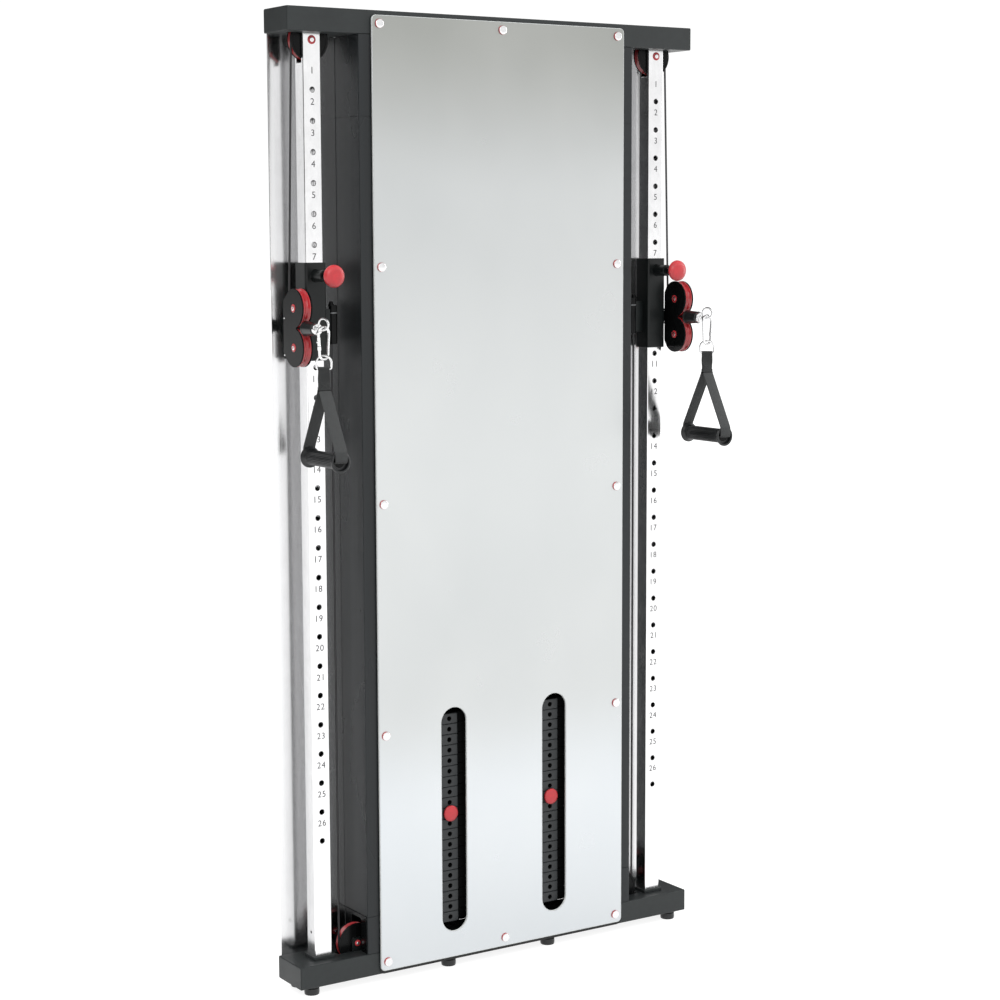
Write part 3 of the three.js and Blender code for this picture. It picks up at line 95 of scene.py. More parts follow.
TOP_PULLEY_Z = 2194.0
CABLE_END_Z = TOP_PULLEY_Z - 3.0
BOTTOM_PULLEY = (387.0, 93.0)
TAIL_PULLEY = (45.0, 75.5)
HEADER_OUTER_X = 228.5
HEADER_INNER_X = 62.5
PITCH_RADIUS = 41.5
BIG_RIM = 47.1
BIG_GROOVE = 38.1
TAIL_PITCH = 24.0
TAIL_RIM = 26.0
TAIL_GROOVE = 20.6
BRACKET_INNER = 12.0
BRACKET_OUTER = 16.0
BRACKET_HALF = 14.0
BRACKET_END = 13.0
CABLE_RADIUS = 2.5

GLASS_FRONT = 26.5
GLASS_BACK = 31.2
BOARD_FRONT = 31.5
BOARD_BACK = 34.2
MIRROR_HALF = 350.0
MIRROR_LOW = 29.0
BOARD_LOW = 21.0
MIRROR_HIGH = 2252.0
MIRROR_CORNER = 11.0
WINDOW_X = 144.5
WINDOW_RADIUS = 35.0
WINDOW_LOW = 93.0
WINDOW_HIGH = 642.0
CAP_X = 331.0
CAP_LOW_Z = 50.0
CAP_PITCH = 545.75
CAP_ROWS = 5

CASING_X = 381.0
CASING_FLANGE_X = 335.0
CASING_BACK = 144.2
CASING_SHEET = 3.0
REAR_INNER_X = 381.3
REAR_OUTER_X = 553.0
BACK_SHEET_HALF = 380.7
OPENING_HIGH = 164.0
SEAM_Z = 2026.5
SEAM_HALF = 1.0
SEAM_DEPTH = 1.4

STACK_X = 145.5
PLATE_HALF = 80.0
PLATE_FRONT = 58.5
PLATE_BACK = 134.5
NOSE_HALF = 23.5
NOSE_FRONT = 46.5
PLATE_PITCH = 25.68
PLATE_GAP = 0.25
PLATE_COUNT = 10
STACK_LOW = 109.4
LIFTED_LOW = 366.7
LIFTED_HIGH = 623.5
PIN_HOLE = 5.5
ROD_SPREAD = 50.0
ROD_Y = 118.5
ROD_RADIUS = 8.0
ROD_SEAT_HIGH = 82.3
BUMPER_LOW = 82.5
BUMPER_HIGH = 109.0
STACK_PULLEY_Z = 687.1
SELECTOR_Z = 379.54
SELECTOR_KNOB = 19.5

PIN_Z = 1669.52
SLEEVE_LOW = 1477.42
SLEEVE_HIGH = 1698.92
SLEEVE_HALF = 26.5
ANCHOR_X = 424.0
ANCHOR_LOW = 1512.92
ANCHOR_HIGH = 1601.92
INNER_CABLE_X = 428.5
WEB_LOW = 1516.9
WEB_HIGH = 1592.9
LUG_FRONT = 92.5

BLOCK_X = 535.5
BLOCK_Z = 1553.72
CHEEK_IN = 10.0
CHEEK_OUT = 13.0
AXLE_Y = 46.3
AXLE_RISE = 44.2
CHEEK_RADIUS = 44.0
OUTER_REAR = 49.2
INNER_REAR = 41.2

HANDLE_Y = -70.5
EYE_Z = 1565.72
EYE_RADIUS = 12.5
EYE_WIRE = 2.6
EYE_TURN = math.radians(30.0)
HOOK_LOW = 1486.02
HOOK_HIGH = 1563.02
HOOK_WIRE = 3.0
RING_LOW = 1465.42
RING_HIGH = 1499.92
RING_WIRE = 2.5
RING_TURN = math.radians(-45.0)
NECK_HIGH = 1467.62
NECK_LOW = 1418.62
NECK_THICKNESS = 8.6
STRAP_WIDTH = 30.0
SEWN_WIDTH = STRAP_WIDTH - 7.5
GRIP_Z = 1266.62
GRIP_HALF = 73.5
GRIP_RADIUS = 17.5


class FinishSettings(bpy.types.PropertyGroup):
    """Colours of the painted, plated and moulded parts."""

    beam_paint: FloatVectorProperty(
        name="Beam paint", description="Powder coat of the two beams", subtype="COLOR",
        size=3, min=0.0, max=1.0, default=(0.0200, 0.0236, 0.0240))
    casing_paint: FloatVectorProperty(
        name="Casing paint", description="Satin paint of the casing sides and back", subtype="COLOR",
        size=3, min=0.0, max=1.0, default=(0.0200, 0.0228, 0.0244))
    carriage_paint: FloatVectorProperty(
        name="Carriage paint", description="Black enamel of the sliding carriages", subtype="COLOR",
        size=3, min=0.0, max=1.0, default=(0.006, 0.008, 0.008))
    plated_steel: FloatVectorProperty(
        name="Plated steel", description="Bright plating of uprights and fittings", subtype="COLOR",
        size=3, min=0.0, max=1.0, default=(0.88, 0.88, 0.885))
    polished_sheet: FloatVectorProperty(
        name="Polished sheet", description="Stainless plates behind the uprights", subtype="COLOR",
        size=3, min=0.0, max=1.0, default=(0.78, 0.78, 0.785))
    # These three tones paint the mirror's reflection: darkest at the top, lighter lower down.
    mirror_reflection_top: FloatVectorProperty(
        name="Mirror, top", description="Tone of the mirror at its top edge", subtype="COLOR",
        size=3, min=0.0, max=1.0, default=(0.35, 0.36, 0.34))
    mirror_reflection_middle: FloatVectorProperty(
        name="Mirror, middle", description="Tone of the mirror at half its height", subtype="COLOR",
        size=3, min=0.0, max=1.0, default=(0.59, 0.61, 0.61))
    mirror_reflection_bottom: FloatVectorProperty(
        name="Mirror, bottom", description="Tone of the mirror between its windows", subtype="COLOR",
        size=3, min=0.0, max=1.0, default=(0.64, 0.67, 0.69))
    red_moulding: FloatVectorProperty(
        name="Red mouldings", description="Knobs, bushes and pulley grooves", subtype="COLOR",
        size=3, min=0.0, max=1.0, default=(0.58, 0.028, 0.037))
    weight_iron: FloatVectorProperty(
        name="Weight plates", description="Coated iron of the weight plates", subtype="COLOR",
        size=3, min=0.0, max=1.0, default=(0.026, 0.029, 0.031))
    webbing: FloatVectorProperty(
        name="Webbing", description="Woven strap of the handles", subtype="COLOR",
        size=3, min=0.0, max=1.0, default=(0.0575, 0.0600, 0.0602))
    rubber: FloatVectorProperty(
        name="Rubber", description="Grips, stops and feet", subtype="COLOR",
        size=3, min=0.0, max=1.0, default=(0.009, 0.010, 0.0105))


class DetailSettings(bpy.types.PropertyGroup):
    """Sizes of the fine details that the solids leave out."""

    beam_corner: FloatProperty(
        name="Beam corner", description="Fold radius along the beams", unit="LENGTH",
        min=0.0005, default=0.003)
    upright_corner: FloatProperty(
        name="Upright corner", description="Corner radius of the upright tube", unit="LENGTH",
        min=0.0005, default=0.0028)
    sleeve_corner: FloatProperty(
        name="Sleeve corner", description="Corner radius of the carriage sleeve", unit="LENGTH",
        min=0.001, default=0.006)
    number_height: FloatProperty(
        name="Number height", description="Height of the printed hole numbers", unit="LENGTH",
        min=0.004, default=0.0146)
    glass_edge: FloatProperty(
        name="Glass edge", description="Ground edge of the mirror and its windows", unit="LENGTH",
        min=0.0002, default=0.0014)
    plate_edge: FloatProperty(
        name="Plate edge", description="Rounding of the weight plates", unit="LENGTH",
        min=0.0002, default=0.0022)
    strap_thickness: FloatProperty(
        name="Strap thickness", description="Thickness of the handle webbing", unit="LENGTH",
        min=0.001, default=0.003)
    grip_flutes: IntProperty(
        name="Grip flutes", description="Grooves along each grip", min=8, max=60, default=30)


class StudioSettings(bpy.types.PropertyGroup):
    """Floor, light and camera."""

    floor_size: FloatProperty(
        name="Floor size", description="Radius of the pale floor", unit="LENGTH", min=2.0, default=60.0)
    floor_tone: FloatVectorProperty(
        name="Floor tone", description="Colour of the floor", subtype="COLOR",
        size=3, min=0.0, max=1.0, default=(0.30, 0.30, 0.30))
    key_power: FloatProperty(
        name="Key light", description="Power of the large front light in watts", min=0.0, default=40.0)
    rim_power: FloatProperty(
        name="Side light", description="Power of the side light in watts", min=0.0, default=35.0)
    lens: FloatProperty(
        name="Lens", description="Focal length of the camera in millimetres", min=20.0, default=79.6717)


def finish_settings():
    return bpy.context.scene.station_finishes


def detail(name):
    """A fine detail's size in millimetres."""
    return getattr(bpy.context.scene.station_details, name) / MM


# Outlines: lists of (a, b) points round a closed shape.


def without_repeats(points):
    kept = []
    for point in points:
        if not kept or math.dist(point, kept[-1]) > 1e-5:
            kept.append(point)
    if math.dist(kept[0], kept[-1]) < 1e-5:
        kept.pop()
    return kept


def arc(a, b, radius, start, end, steps):
    """Points of an arc, its angles in degrees."""
    points = []
    for i in range(steps + 1):
        angle = math.radians(start + (end - start) * i / steps)
        points.append((a + radius * math.cos(angle), b + radius * math.sin(angle)))
    return points


def circle(a, b, radius, steps=32):
    return arc(a, b, radius, 0, 360, steps)[:-1]


def rounded_rectangle(a0, b0, a1, b1, radius, steps=5):
    points = arc(a1 - radius, b0 + radius, radius, -90, 0, steps)
    points += arc(a1 - radius, b1 - radius, radius, 0, 90, steps)
    points += arc(a0 + radius, b1 - radius, radius, 90, 180, steps)
    points += arc(a0 + radius, b0 + radius, radius, 180, 270, steps)
    return without_repeats(points)


def eased(points, size, closed=True, steps=4):
    """The outline with its corners rounded; a point may carry its own size as a third number."""
    count = len(points)
    made = []
    for i, point in enumerate(points):
        own = point[2] if len(point) > 2 else size
        if own <= 0 or (not closed and i in (0, count - 1)):
            made.append(tuple(point[:2]))
            continue
        here = Vector(point[:2])
        before = Vector(points[i - 1][:2]) - here
        after = Vector(points[(i + 1) % count][:2]) - here
        first = here + before.normalized() * min(own, before.length * 0.49)
        last = here + after.normalized() * min(own, after.length * 0.49)
        for k in range(steps + 1):
            t = k / steps
            made.append(tuple(first * (1 - t) ** 2 + here * 2 * t * (1 - t) + last * t * t))
    return without_repeats(made) if closed else made


def grown(loop, distance):
    """The outline moved outward, or inward where the distance is negative."""
    count = len(loop)
    area = sum(loop[i - 1][0] * loop[i][1] - loop[i][0] * loop[i - 1][1] for i in range(count))
    way = 1 if area > 0 else -1
    moved = []
    for i, (a, b) in enumerate(loop):
        before = loop[i - 1]
        after = loop[(i + 1) % count]
        one = Vector((b - before[1], before[0] - a)).normalized() * way
        two = Vector((after[1] - b, a - after[0])).normalized() * way
        normal = (one + two).normalized()
        reach = distance / max(0.35, normal.dot(one))
        moved.append((a + normal.x * reach, b + normal.y * reach))
    return moved


# Shapes: each adds a closed solid to a bmesh, in millimetres, and returns the bmesh.


def skin(bm, rings, closed=False, caps=True):
    """Faces from each ring of points to the next; a ring of one point is a tip."""
    made = [[bm.verts.new(point) for point in ring] for ring in rings]
    count = len(made)
    for i in range(count if closed else count - 1):
        one = made[i]
        two = made[(i + 1) % count]
        size = max(len(one), len(two))
        for j in range(size):
            k = (j + 1) % size
            if len(one) == 1:
                bm.faces.new((one[0], two[j], two[k]))
            elif len(two) == 1:
                bm.faces.new((one[k], one[j], two[0]))
            else:
                bm.faces.new((one[j], one[k], two[k], two[j]))
    if caps and not closed:
        for ring in (made[0], made[-1]):
            if len(ring) > 2:
                bm.faces.new(ring)
    return made


def turned(bm, profile, centre, direction, steps=48, closed=False, flutes=None):
    """A turned solid: (radius, distance) pairs along a direction from a centre."""
    along = Vector(direction).normalized()
    across = along.orthogonal().normalized()
    up = along.cross(across)
    rings = []
    for radius, distance in profile:
        middle = Vector(centre) + along * distance
        if radius < 1e-4:
            rings.append([middle])
            continue
        ring = []
        for j in range(steps):
            angle = 2 * math.pi * j / steps
            reach = radius if flutes is None else flutes(radius, distance, angle)
            ring.append(middle + (across * math.cos(angle) + up * math.sin(angle)) * reach)
        rings.append(ring)
    skin(bm, rings, closed)
    return bm


def lathe(bm, corners, centre, direction, steps, easing, cuts=2, ring=False):
    """A turned solid with rounded corners; a ring stays off its axis."""
    return turned(bm, eased(corners, easing, ring, cuts), centre, direction, steps, ring)


def rod(bm, radius, low, high, centre, direction, steps=24):
    return turned(bm, [(0, low), (radius, low), (radius, high), (0, high)], centre, direction, steps)


def slab(bm, outline, low, high, plane, holes=(), edge=0.6, steps=2):
    """A plate cut to an outline, with holes and rounded edges, spread across its plane."""
    order = {"XY": (0, 1, 2), "XZ": (0, 2, 1), "YZ": (2, 0, 1)}[plane]
    levels = []
    for k in range(steps + 1):
        angle = math.pi / 2 * k / steps
        levels.append((edge * (1 - math.cos(angle)), edge * (1 - math.sin(angle))))
    heights = [(low + rise, inset) for rise, inset in levels]
    heights += [(high - rise, inset) for rise, inset in reversed(levels)]
    ends = ([], [])
    flat = ([], [])
    for loop, way in [(outline, -1)] + [(hole, 1) for hole in holes]:
        rings = []
        for height, inset in heights:
            moved = grown(loop, way * inset) if inset > 1e-6 else loop
            rings.append([Vector([(a, b, height)[i] for i in order]) for a, b in moved])
        made = skin(bm, rings, caps=False)
        rim = grown(loop, way * edge) if edge > 1e-6 else loop
        for i, verts in enumerate((made[0], made[-1])):
            ends[i].append(verts)
            flat[i].append([Vector((a, b, 0)) for a, b in rim])
    for loops, places in zip(ends, flat):
        if len(loops) == 1:
            bm.faces.new(loops[0])
            continue
        verts = [vert for loop in loops for vert in loop]
        for triangle in tessellate_polygon(places):
            bm.faces.new([verts[i] for i in triangle])
    return bm


def block(bm, low, high, radius=0.8, edge=0.6, plane="XY"):
    """A box with rounded corners between two opposite corners."""
    a, b, c = {"XY": (0, 1, 2), "XZ": (0, 2, 1), "YZ": (1, 2, 0)}[plane]
    outline = rounded_rectangle(low[a], low[b], high[a], high[b], radius, 3)
    return slab(bm, outline, low[c], high[c], plane, edge=edge)


def wire(bm, points, radius, around=12, closed=False):
    """A round wire along a path; the radius may be a list with one value for each point."""
    places = [Vector(point) for point in points]
    count = len(places)
    sizes = radius if isinstance(radius, list) else [radius] * count
    normal = None
    rings = []
    for i, place in enumerate(places):
        before = places[i - 1] if closed or i else place
        after = places[(i + 1) % count] if closed or i < count - 1 else place
        along = (after - before).normalized()
        if normal is None:
            normal = along.orthogonal().normalized()
        normal = (normal - along * normal.dot(along)).normalized()
        side = along.cross(normal)
        ring = []
        for j in range(around):
            angle = 2 * math.pi * j / around
            ring.append(place + (normal * math.cos(angle) + side * math.sin(angle)) * sizes[i])
        rings.append(ring)
    skin(bm, rings, closed)
    return bm


def band(bm, points, widths, thickness, turns=None, seam=0.0):
    """A flat woven strap along a path in the YZ plane, its width along X or turned about Z."""
    places = [Vector(point) for point in points]
    thick = thickness / 2
    rings = []
    for i, place in enumerate(places):
        before = places[max(i - 1, 0)]
        after = places[min(i + 1, len(places) - 1)]
        along = (after - before).normalized()
        across = Matrix.Rotation(turns[i] if turns else 0, 3, "Z") @ Vector(RIGHT)
        normal = along.cross(across).normalized()
        half = widths[i] / 2
        ring = []
        for a, b in rounded_rectangle(-half, -thick, half, thick, thick * 0.8, 3):
            swell = 1 + seam if abs(a) > half - 4 else 1
            ring.append(place + across * a + normal * b * swell)
        rings.append(ring)
    skin(bm, rings)
    return bm


def temporary(bm):
    bmesh.ops.recalc_face_normals(bm, faces=bm.faces)
    mesh = bpy.data.meshes.new("temporary")
    bm.to_mesh(mesh)
    bm.free()
    obj = bpy.data.objects.new("temporary", mesh)
    bpy.context.scene.collection.objects.link(obj)
    return obj


def carved(bm, cutter):
    """The shape without what the cutter's solids cover."""
    body = temporary(bm)
    tool = temporary(cutter)
    cut = body.modifiers.new("cut", "BOOLEAN")
    cut.operation = "DIFFERENCE"
    cut.solver = "EXACT"
    cut.use_self = True
    cut.object = tool
    bpy.context.view_layer.update()
    graph = bpy.context.evaluated_depsgraph_get()
    mesh = bpy.data.meshes.new_from_object(body.evaluated_get(graph))
    result = bmesh.new()
    result.from_mesh(mesh)
    for obj in (body, tool):
        data = obj.data
        bpy.data.objects.remove(obj)
        bpy.data.meshes.remove(data)
    bpy.data.meshes.remove(mesh)
    if not result.faces:
        raise RuntimeError("a cut left nothing of its piece")
    return result


def piece(name, bm, finish, body="cabinet", nodes=(), side="", mirror=True, sharp=38,
          weighted=True):
    """Turns a shape into a named piece that rides on a body and stands for CAD nodes.

    With a side, the names of piece, moving body and nodes start with it, and the shape is mirrored to
    it unless it is drawn in place already. A piece without a body is left to its caller.
    """
    prefix = f"{side}_" if side else ""
    sign = SIGNS[side] if side and mirror else 1
    bm.transform(Matrix.Diagonal((sign * MM, MM, MM, 1)))
    bmesh.ops.recalc_face_normals(bm, faces=bm.faces)
    mesh = bpy.data.meshes.new(prefix + name)
    bm.to_mesh(mesh)
    bm.free()
    mesh.polygons.foreach_set("use_smooth", [True] * len(mesh.polygons))
    mesh.set_sharp_from_angle(angle=math.radians(sharp))
    mesh.materials.append(material_of(finish))
    obj = bpy.data.objects.new(prefix + name, mesh)
    bpy.context.scene.collection.objects.link(obj)
    if weighted:
        even = obj.modifiers.new("even shading", "WEIGHTED_NORMAL")
        even.keep_sharp = True
        even.weight = 80
    if nodes:
        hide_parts(*[prefix + node for node in nodes])
    if body:
        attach(obj, body if body == "cabinet" else prefix + body)
    return obj


def second_finish(obj, finish, axis, limit):
    """Gives another finish to the faces that lie past a limit along an axis."""
    obj.data.materials.append(material_of(finish))
    for face in obj.data.polygons:
        face.material_index = int(face.center[axis] > limit * MM)


# Finishes: procedural materials in each piece's own space.


FINISHES = {}


def recipe_for(key, slot, name, **sockets):
    """Files a recipe under a key, with the record's slot, the material's name and its fixed sockets."""
    def file_recipe(recipe):
        FINISHES[key] = (slot, name, sockets, recipe)
        return recipe
    return file_recipe


def material_of(key):
    """A finish's material, mixed when a piece first asks for it."""
    slot, name, sockets, recipe = FINISHES[key]
    material = bpy.data.materials.get(name)
    if material is None:
        material = bpy.data.materials.new(name)
        material.use_nodes = True
        shader = material.node_tree.nodes["Principled BSDF"]
        connect(material.node_tree, shader, {socket.replace("_", " "): sockets[socket] for socket in sockets})
        recipe(material.node_tree, shader)
    return material


def connect(tree, node, inputs):
    """Sets each input to a value, or links it to an output."""
    for key, value in inputs.items():
        if isinstance(value, bpy.types.NodeSocket):
            tree.links.new(value, node.inputs[key])
        else:
            node.inputs[key].default_value = value


def add_node(tree, kind, inputs=None, **settings):
    made = tree.nodes.new(kind)
    for key, value in settings.items():
        setattr(made, key, value)
    connect(tree, made, inputs or {})
    return made


def noise(tree, scale, stretch=(1, 1, 1), detail_level=4, rough=0.55):
    place = add_node(tree, "ShaderNodeTexCoord")
    stretched = add_node(tree, "ShaderNodeMapping", {"Vector": place.outputs["Object"], "Scale": stretch})
    pattern = add_node(tree, "ShaderNodeTexNoise", {
        "Vector": stretched.outputs["Vector"], "Scale": scale, "Detail": detail_level, "Roughness": rough})
    return pattern.outputs["Fac"]


def ranged(tree, value, low, high, start=0.3, end=0.7):
    """The value's range from start to end, spread from low to high."""
    made = add_node(tree, "ShaderNodeMapRange", {
        "Value": value, "From Min": start, "From Max": end, "To Min": low, "To Max": high})
    return made.outputs["Result"]


def product(tree, first, second):
    return add_node(tree, "ShaderNodeMath", {0: first, 1: second}, operation="MULTIPLY").outputs["Value"]


def blended(tree, amount, first, second):
    """A colour between two colours or outputs."""
    ends = [end if isinstance(end, bpy.types.NodeSocket) else (*end, 1) for end in (first, second)]
    return add_node(tree, "ShaderNodeMix", {0: amount, 6: ends[0], 7: ends[1]}, data_type="RGBA").outputs[2]


def scaled(colour, factor):
    return tuple(min(1.0, channel * factor) for channel in colour)


def shades(tree, pattern, colour, dark, light, start=0.3, end=0.7):
    """The colour, darker and lighter with a pattern."""
    return blended(tree, ranged(tree, pattern, 0, 1, start, end), scaled(colour, dark), scaled(colour, light))


def edge_wear(tree, colour, worn, amount):
    """Lighter metal or rubbed paint along the outer edges."""
    shape = add_node(tree, "ShaderNodeNewGeometry")
    edges = ranged(tree, shape.outputs["Pointiness"], 0, amount, 0.52, 0.62)
    return blended(tree, product(tree, edges, ranged(tree, noise(tree, 60), 0.3, 1)), colour, worn)


def coat(tree, shader, tone, pattern, smooth, dull, height=None, strength=0.0, depth=0.0):
    """Colour, a roughness that follows a pattern, and a fine relief."""
    connect(tree, shader, {"Base Color": tone, "Roughness": ranged(tree, pattern, smooth, dull)})
    if height:
        bump = add_node(tree, "ShaderNodeBump", {"Strength": strength, "Distance": depth, "Height": height})
        connect(tree, shader, {"Normal": bump.outputs["Normal"]})


def powder_coat(colour, roughness, grain, depth, wear):
    """Textured paint: fine orange peel, a little cloudiness, rubbed edges."""
    def mix(tree, shader):
        paint = getattr(finish_settings(), colour) if isinstance(colour, str) else colour
        cloud = noise(tree, 9, detail_level=5)
        worn = edge_wear(tree, shades(tree, cloud, paint, 0.86, 1.14), scaled(paint, 3.2), wear)
        coat(tree, shader, worn, cloud, roughness * 0.85, roughness * 1.15,
             noise(tree, grain, detail_level=2), 0.35, depth)
    return mix


# Each row: key, slot, material, colour or its setting, roughness, grain, depth, edge wear, gloss, metal.
POWDER_COATS = (
    ("beam", "charcoal_paint", "beam powder coat", "beam_paint", 0.45, 900, 0.00012, 0.3, 0.4, 0),
    ("carriage", "black_paint", "carriage enamel", "carriage_paint", 0.34, 700, 0.00008, 0.3, 0.3, 0),
    ("gloss", "black_gloss", "gloss black sheet", (0.0035, 0.004, 0.0042), 0.2, 260, 0.00004, 0.6, 0.14, 0),
    ("board", "black_board", "black backing board", (0.006, 0.006, 0.006), 0.6, 1200, 0.0001, 0.1, 0.5, 0),
    ("iron", "weight_iron", "coated weight iron", "weight_iron", 0.5, 500, 0.0002, 0.4, 0.5, 0),
    # This row is painted shade: near black for the plate bodies behind the noses.
    ("shade", "weight_iron", "plate sides", (0.0030, 0.0032, 0.0034), 0.7, 500, 0.0002, 0.2, 0.15, 0),
    ("worn", "chrome", "dull band", (0.16, 0.165, 0.17), 0.45, 900, 0.00005, 0.3, 0.5, 0.6),
    ("thread", "webbing", "sewing thread", (0.055, 0.058, 0.060), 0.7, 2000, 0.0001, 0.1, 0.5, 0),
    # This row paints a near-black shadow on the hem under the folded neck.
    ("hem", "webbing", "hem shadow", (0.006, 0.006, 0.0065), 0.8, 2000, 0.0001, 0.1, 0.15, 0),
    ("ink", "black_paint", "number ink", (0.045, 0.045, 0.048), 0.55, 1500, 0.00003, 0, 0.5, 0),
)
for key, slot, name, *mixing, gloss, metal in POWDER_COATS:
    recipe_for(key, slot, name, Specular_IOR_Level=gloss, Metallic=metal)(powder_coat(*mixing))


@recipe_for("casing", "casing_paint", "casing satin paint", Specular_IOR_Level=0.3)
def casing_finish(tree, shader):
    """Satin sheet paint with faint vertical rolling marks."""
    colour = finish_settings().casing_paint
    rolled = noise(tree, 22, (1, 1, 0.02))
    tone = edge_wear(tree, shades(tree, rolled, colour, 0.75, 1.3), scaled(colour, 2.4), 0.3)
    coat(tree, shader, tone, noise(tree, 3, (1, 1, 0.4)), 0.24, 0.38, rolled, 0.12, 0.0001)


@recipe_for("plated", "chrome", "bright plating", Metallic=1)
def plated_finish(tree, shader):
    """Bright plating with faint haze, drawing lines and handling marks."""
    haze = noise(tree, 45, (1, 1, 0.5), 6, 0.7)
    tone = shades(tree, haze, finish_settings().plated_steel, 0.93, 1.04)
    coat(tree, shader, tone, haze, 0.1, 0.2, noise(tree, 400, (1, 1, 0.02), 2), 0.06, 0.00005)


@recipe_for("fitting", "chrome", "polished fittings", Metallic=1)
def fitting_finish(tree, shader):
    """Polished zinc of hooks, rings, bolts and collars."""
    haze = noise(tree, 160)
    tone = shades(tree, haze, finish_settings().plated_steel, 0.86, 0.95)
    coat(tree, shader, tone, haze, 0.08, 0.2, noise(tree, 700, detail_level=2), 0.05, 0.00005)


@recipe_for("sheet", "stainless", "polished stainless sheet", Metallic=1)
def sheet_finish(tree, shader):
    """Polished stainless sheet: painted reflection in vertical bands, lighter and darker across it, and a fine
    grain.
    """
    # Painted reflection: bands that vary across the width and run up and down.
    reflection_bands = noise(tree, 11, (1, 0, 0.02), 1, 0.3)
    grain = noise(tree, 900, (1, 1, 0.01), 2)
    tone = shades(tree, reflection_bands, finish_settings().polished_sheet, 0.82, 1.16, 0.4, 0.62)
    coat(tree, shader, tone, grain, 0.12, 0.2, grain, 0.05, 0.00004)


@recipe_for("mirror", "mirror", "silvered glass", Metallic=1)
def mirror_finish(tree, shader):
    """Silvered glass with painted reflection: darker towards the top, lighter lower down, with faint lighter
    patches.
    """
    settings = finish_settings()
    place = add_node(tree, "ShaderNodeTexCoord")
    parts = add_node(tree, "ShaderNodeSeparateXYZ", {"Vector": place.outputs["Object"]})
    height = ranged(tree, parts.outputs["Z"], 0, 1, MIRROR_LOW * MM, MIRROR_HIGH * MM)
    ramp = add_node(tree, "ShaderNodeValToRGB", {"Fac": height})
    ramp.color_ramp.interpolation = "EASE"
    # Painted reflection: the tone follows the height of the glass and is darker towards the top.
    stops = ((0, scaled(settings.mirror_reflection_bottom, 0.94)), (0.16, settings.mirror_reflection_bottom),
             (0.29, scaled(settings.mirror_reflection_middle, 0.92)), (0.55, settings.mirror_reflection_middle),
             (0.81, scaled(settings.mirror_reflection_middle, 0.95)), (1, settings.mirror_reflection_top))
    while len(ramp.color_ramp.elements) < len(stops):
        ramp.color_ramp.elements.new(0.5)
    for element, (share, colour) in zip(ramp.color_ramp.elements, stops):
        element.position = share
        element.color = (*colour, 1)
    soft = ranged(tree, noise(tree, 2.2, (1, 1, 0.7), 3, 0.5), 0, 0.12)
    tone = blended(tree, soft, ramp.outputs["Color"], (0.92, 0.91, 0.89))
    coat(tree, shader, tone, noise(tree, 6, detail_level=3), 0.27, 0.33)


@recipe_for("ground", "mirror", "ground glass edge", Specular_IOR_Level=0.6)
def ground_finish(tree, shader):
    """The bright ground edge of the glass."""
    grit = noise(tree, 500, detail_level=3)
    tone = blended(tree, ranged(tree, grit, 0, 1), (0.62, 0.65, 0.64), (0.86, 0.88, 0.87))
    coat(tree, shader, tone, grit, 0.3, 0.5)


@recipe_for("red", "red_plastic", "red moulding",
            Coat_Weight=0.35, Coat_Roughness=0.22, Subsurface_Weight=0.05)
def red_finish(tree, shader):
    """Satin red moulding with a fine grain."""
    cloud = noise(tree, 70)
    colour = finish_settings().red_moulding
    tone = edge_wear(tree, shades(tree, cloud, colour, 0.9, 1.12), (0.8, 0.3, 0.3), 0.3)
    coat(tree, shader, tone, cloud, 0.28, 0.4, noise(tree, 1500, detail_level=2), 0.2, 0.00006)


@recipe_for("wheel", "red_plastic", "polished red wheel", Coat_Weight=0.5, Coat_Roughness=0.05)
def wheel_finish(tree, shader):
    """Polished red of the pulleys, with turning marks in the groove."""
    cloud = noise(tree, 90)
    colour = finish_settings().red_moulding
    tone = edge_wear(tree, shades(tree, cloud, colour, 0.66, 0.9), (0.75, 0.2, 0.2), 0.3)
    coat(tree, shader, tone, cloud, 0.12, 0.2, noise(tree, 900, detail_level=2), 0.06, 0.00004)


@recipe_for("rubber", "rubber", "moulded rubber", Specular_IOR_Level=0.5)
def rubber_finish(tree, shader):
    """Satin moulded rubber with pores and dusty high spots."""
    colour = finish_settings().rubber
    dust = noise(tree, 40, detail_level=6, rough=0.7)
    tone = edge_wear(tree, shades(tree, dust, colour, 0.8, 1.5), scaled(colour, 3.5), 0.5)
    coat(tree, shader, tone, dust, 0.26, 0.42, noise(tree, 1100, detail_level=3), 0.4, 0.00012)


WOVEN = {"Sheen_Weight": 0.12, "Sheen_Roughness": 0.5, "Specular_IOR_Level": 0.25}


@recipe_for("webbing", "webbing", "woven webbing", **WOVEN)
def webbing_finish(tree, shader, shade=1.0):
    """Woven polyester: a fine weave of crossing yarns with a soft sheen."""
    # A factor below 1 darkens the whole webbing as painted shade.
    colour = scaled(finish_settings().webbing, shade)
    place = add_node(tree, "ShaderNodeTexCoord").outputs["Object"]
    waves = {"Vector": place, "Scale": 320, "Distortion": 0.6, "Detail": 1}
    yarns = [add_node(tree, "ShaderNodeTexWave", waves, wave_type="BANDS", bands_direction=way).outputs["Fac"]
             for way in ("X", "Z")]
    weave = product(tree, *yarns)
    fuzz = noise(tree, 120, detail_level=5, rough=0.7)
    tone = blended(tree, ranged(tree, fuzz, 0, 0.25), shades(tree, weave, colour, 0.7, 1.3, 0.1, 0.7),
                   scaled(colour, 1.9))
    coat(tree, shader, tone, fuzz, 0.7, 0.92, weave, 0.6, 0.00025)


@recipe_for("neck", "webbing", "folded webbing", **WOVEN)
def shaded_neck_finish(tree, shader):
    """The webbing where it is folded and sewn, darker than the legs: painted shade."""
    webbing_finish(tree, shader, 0.62)


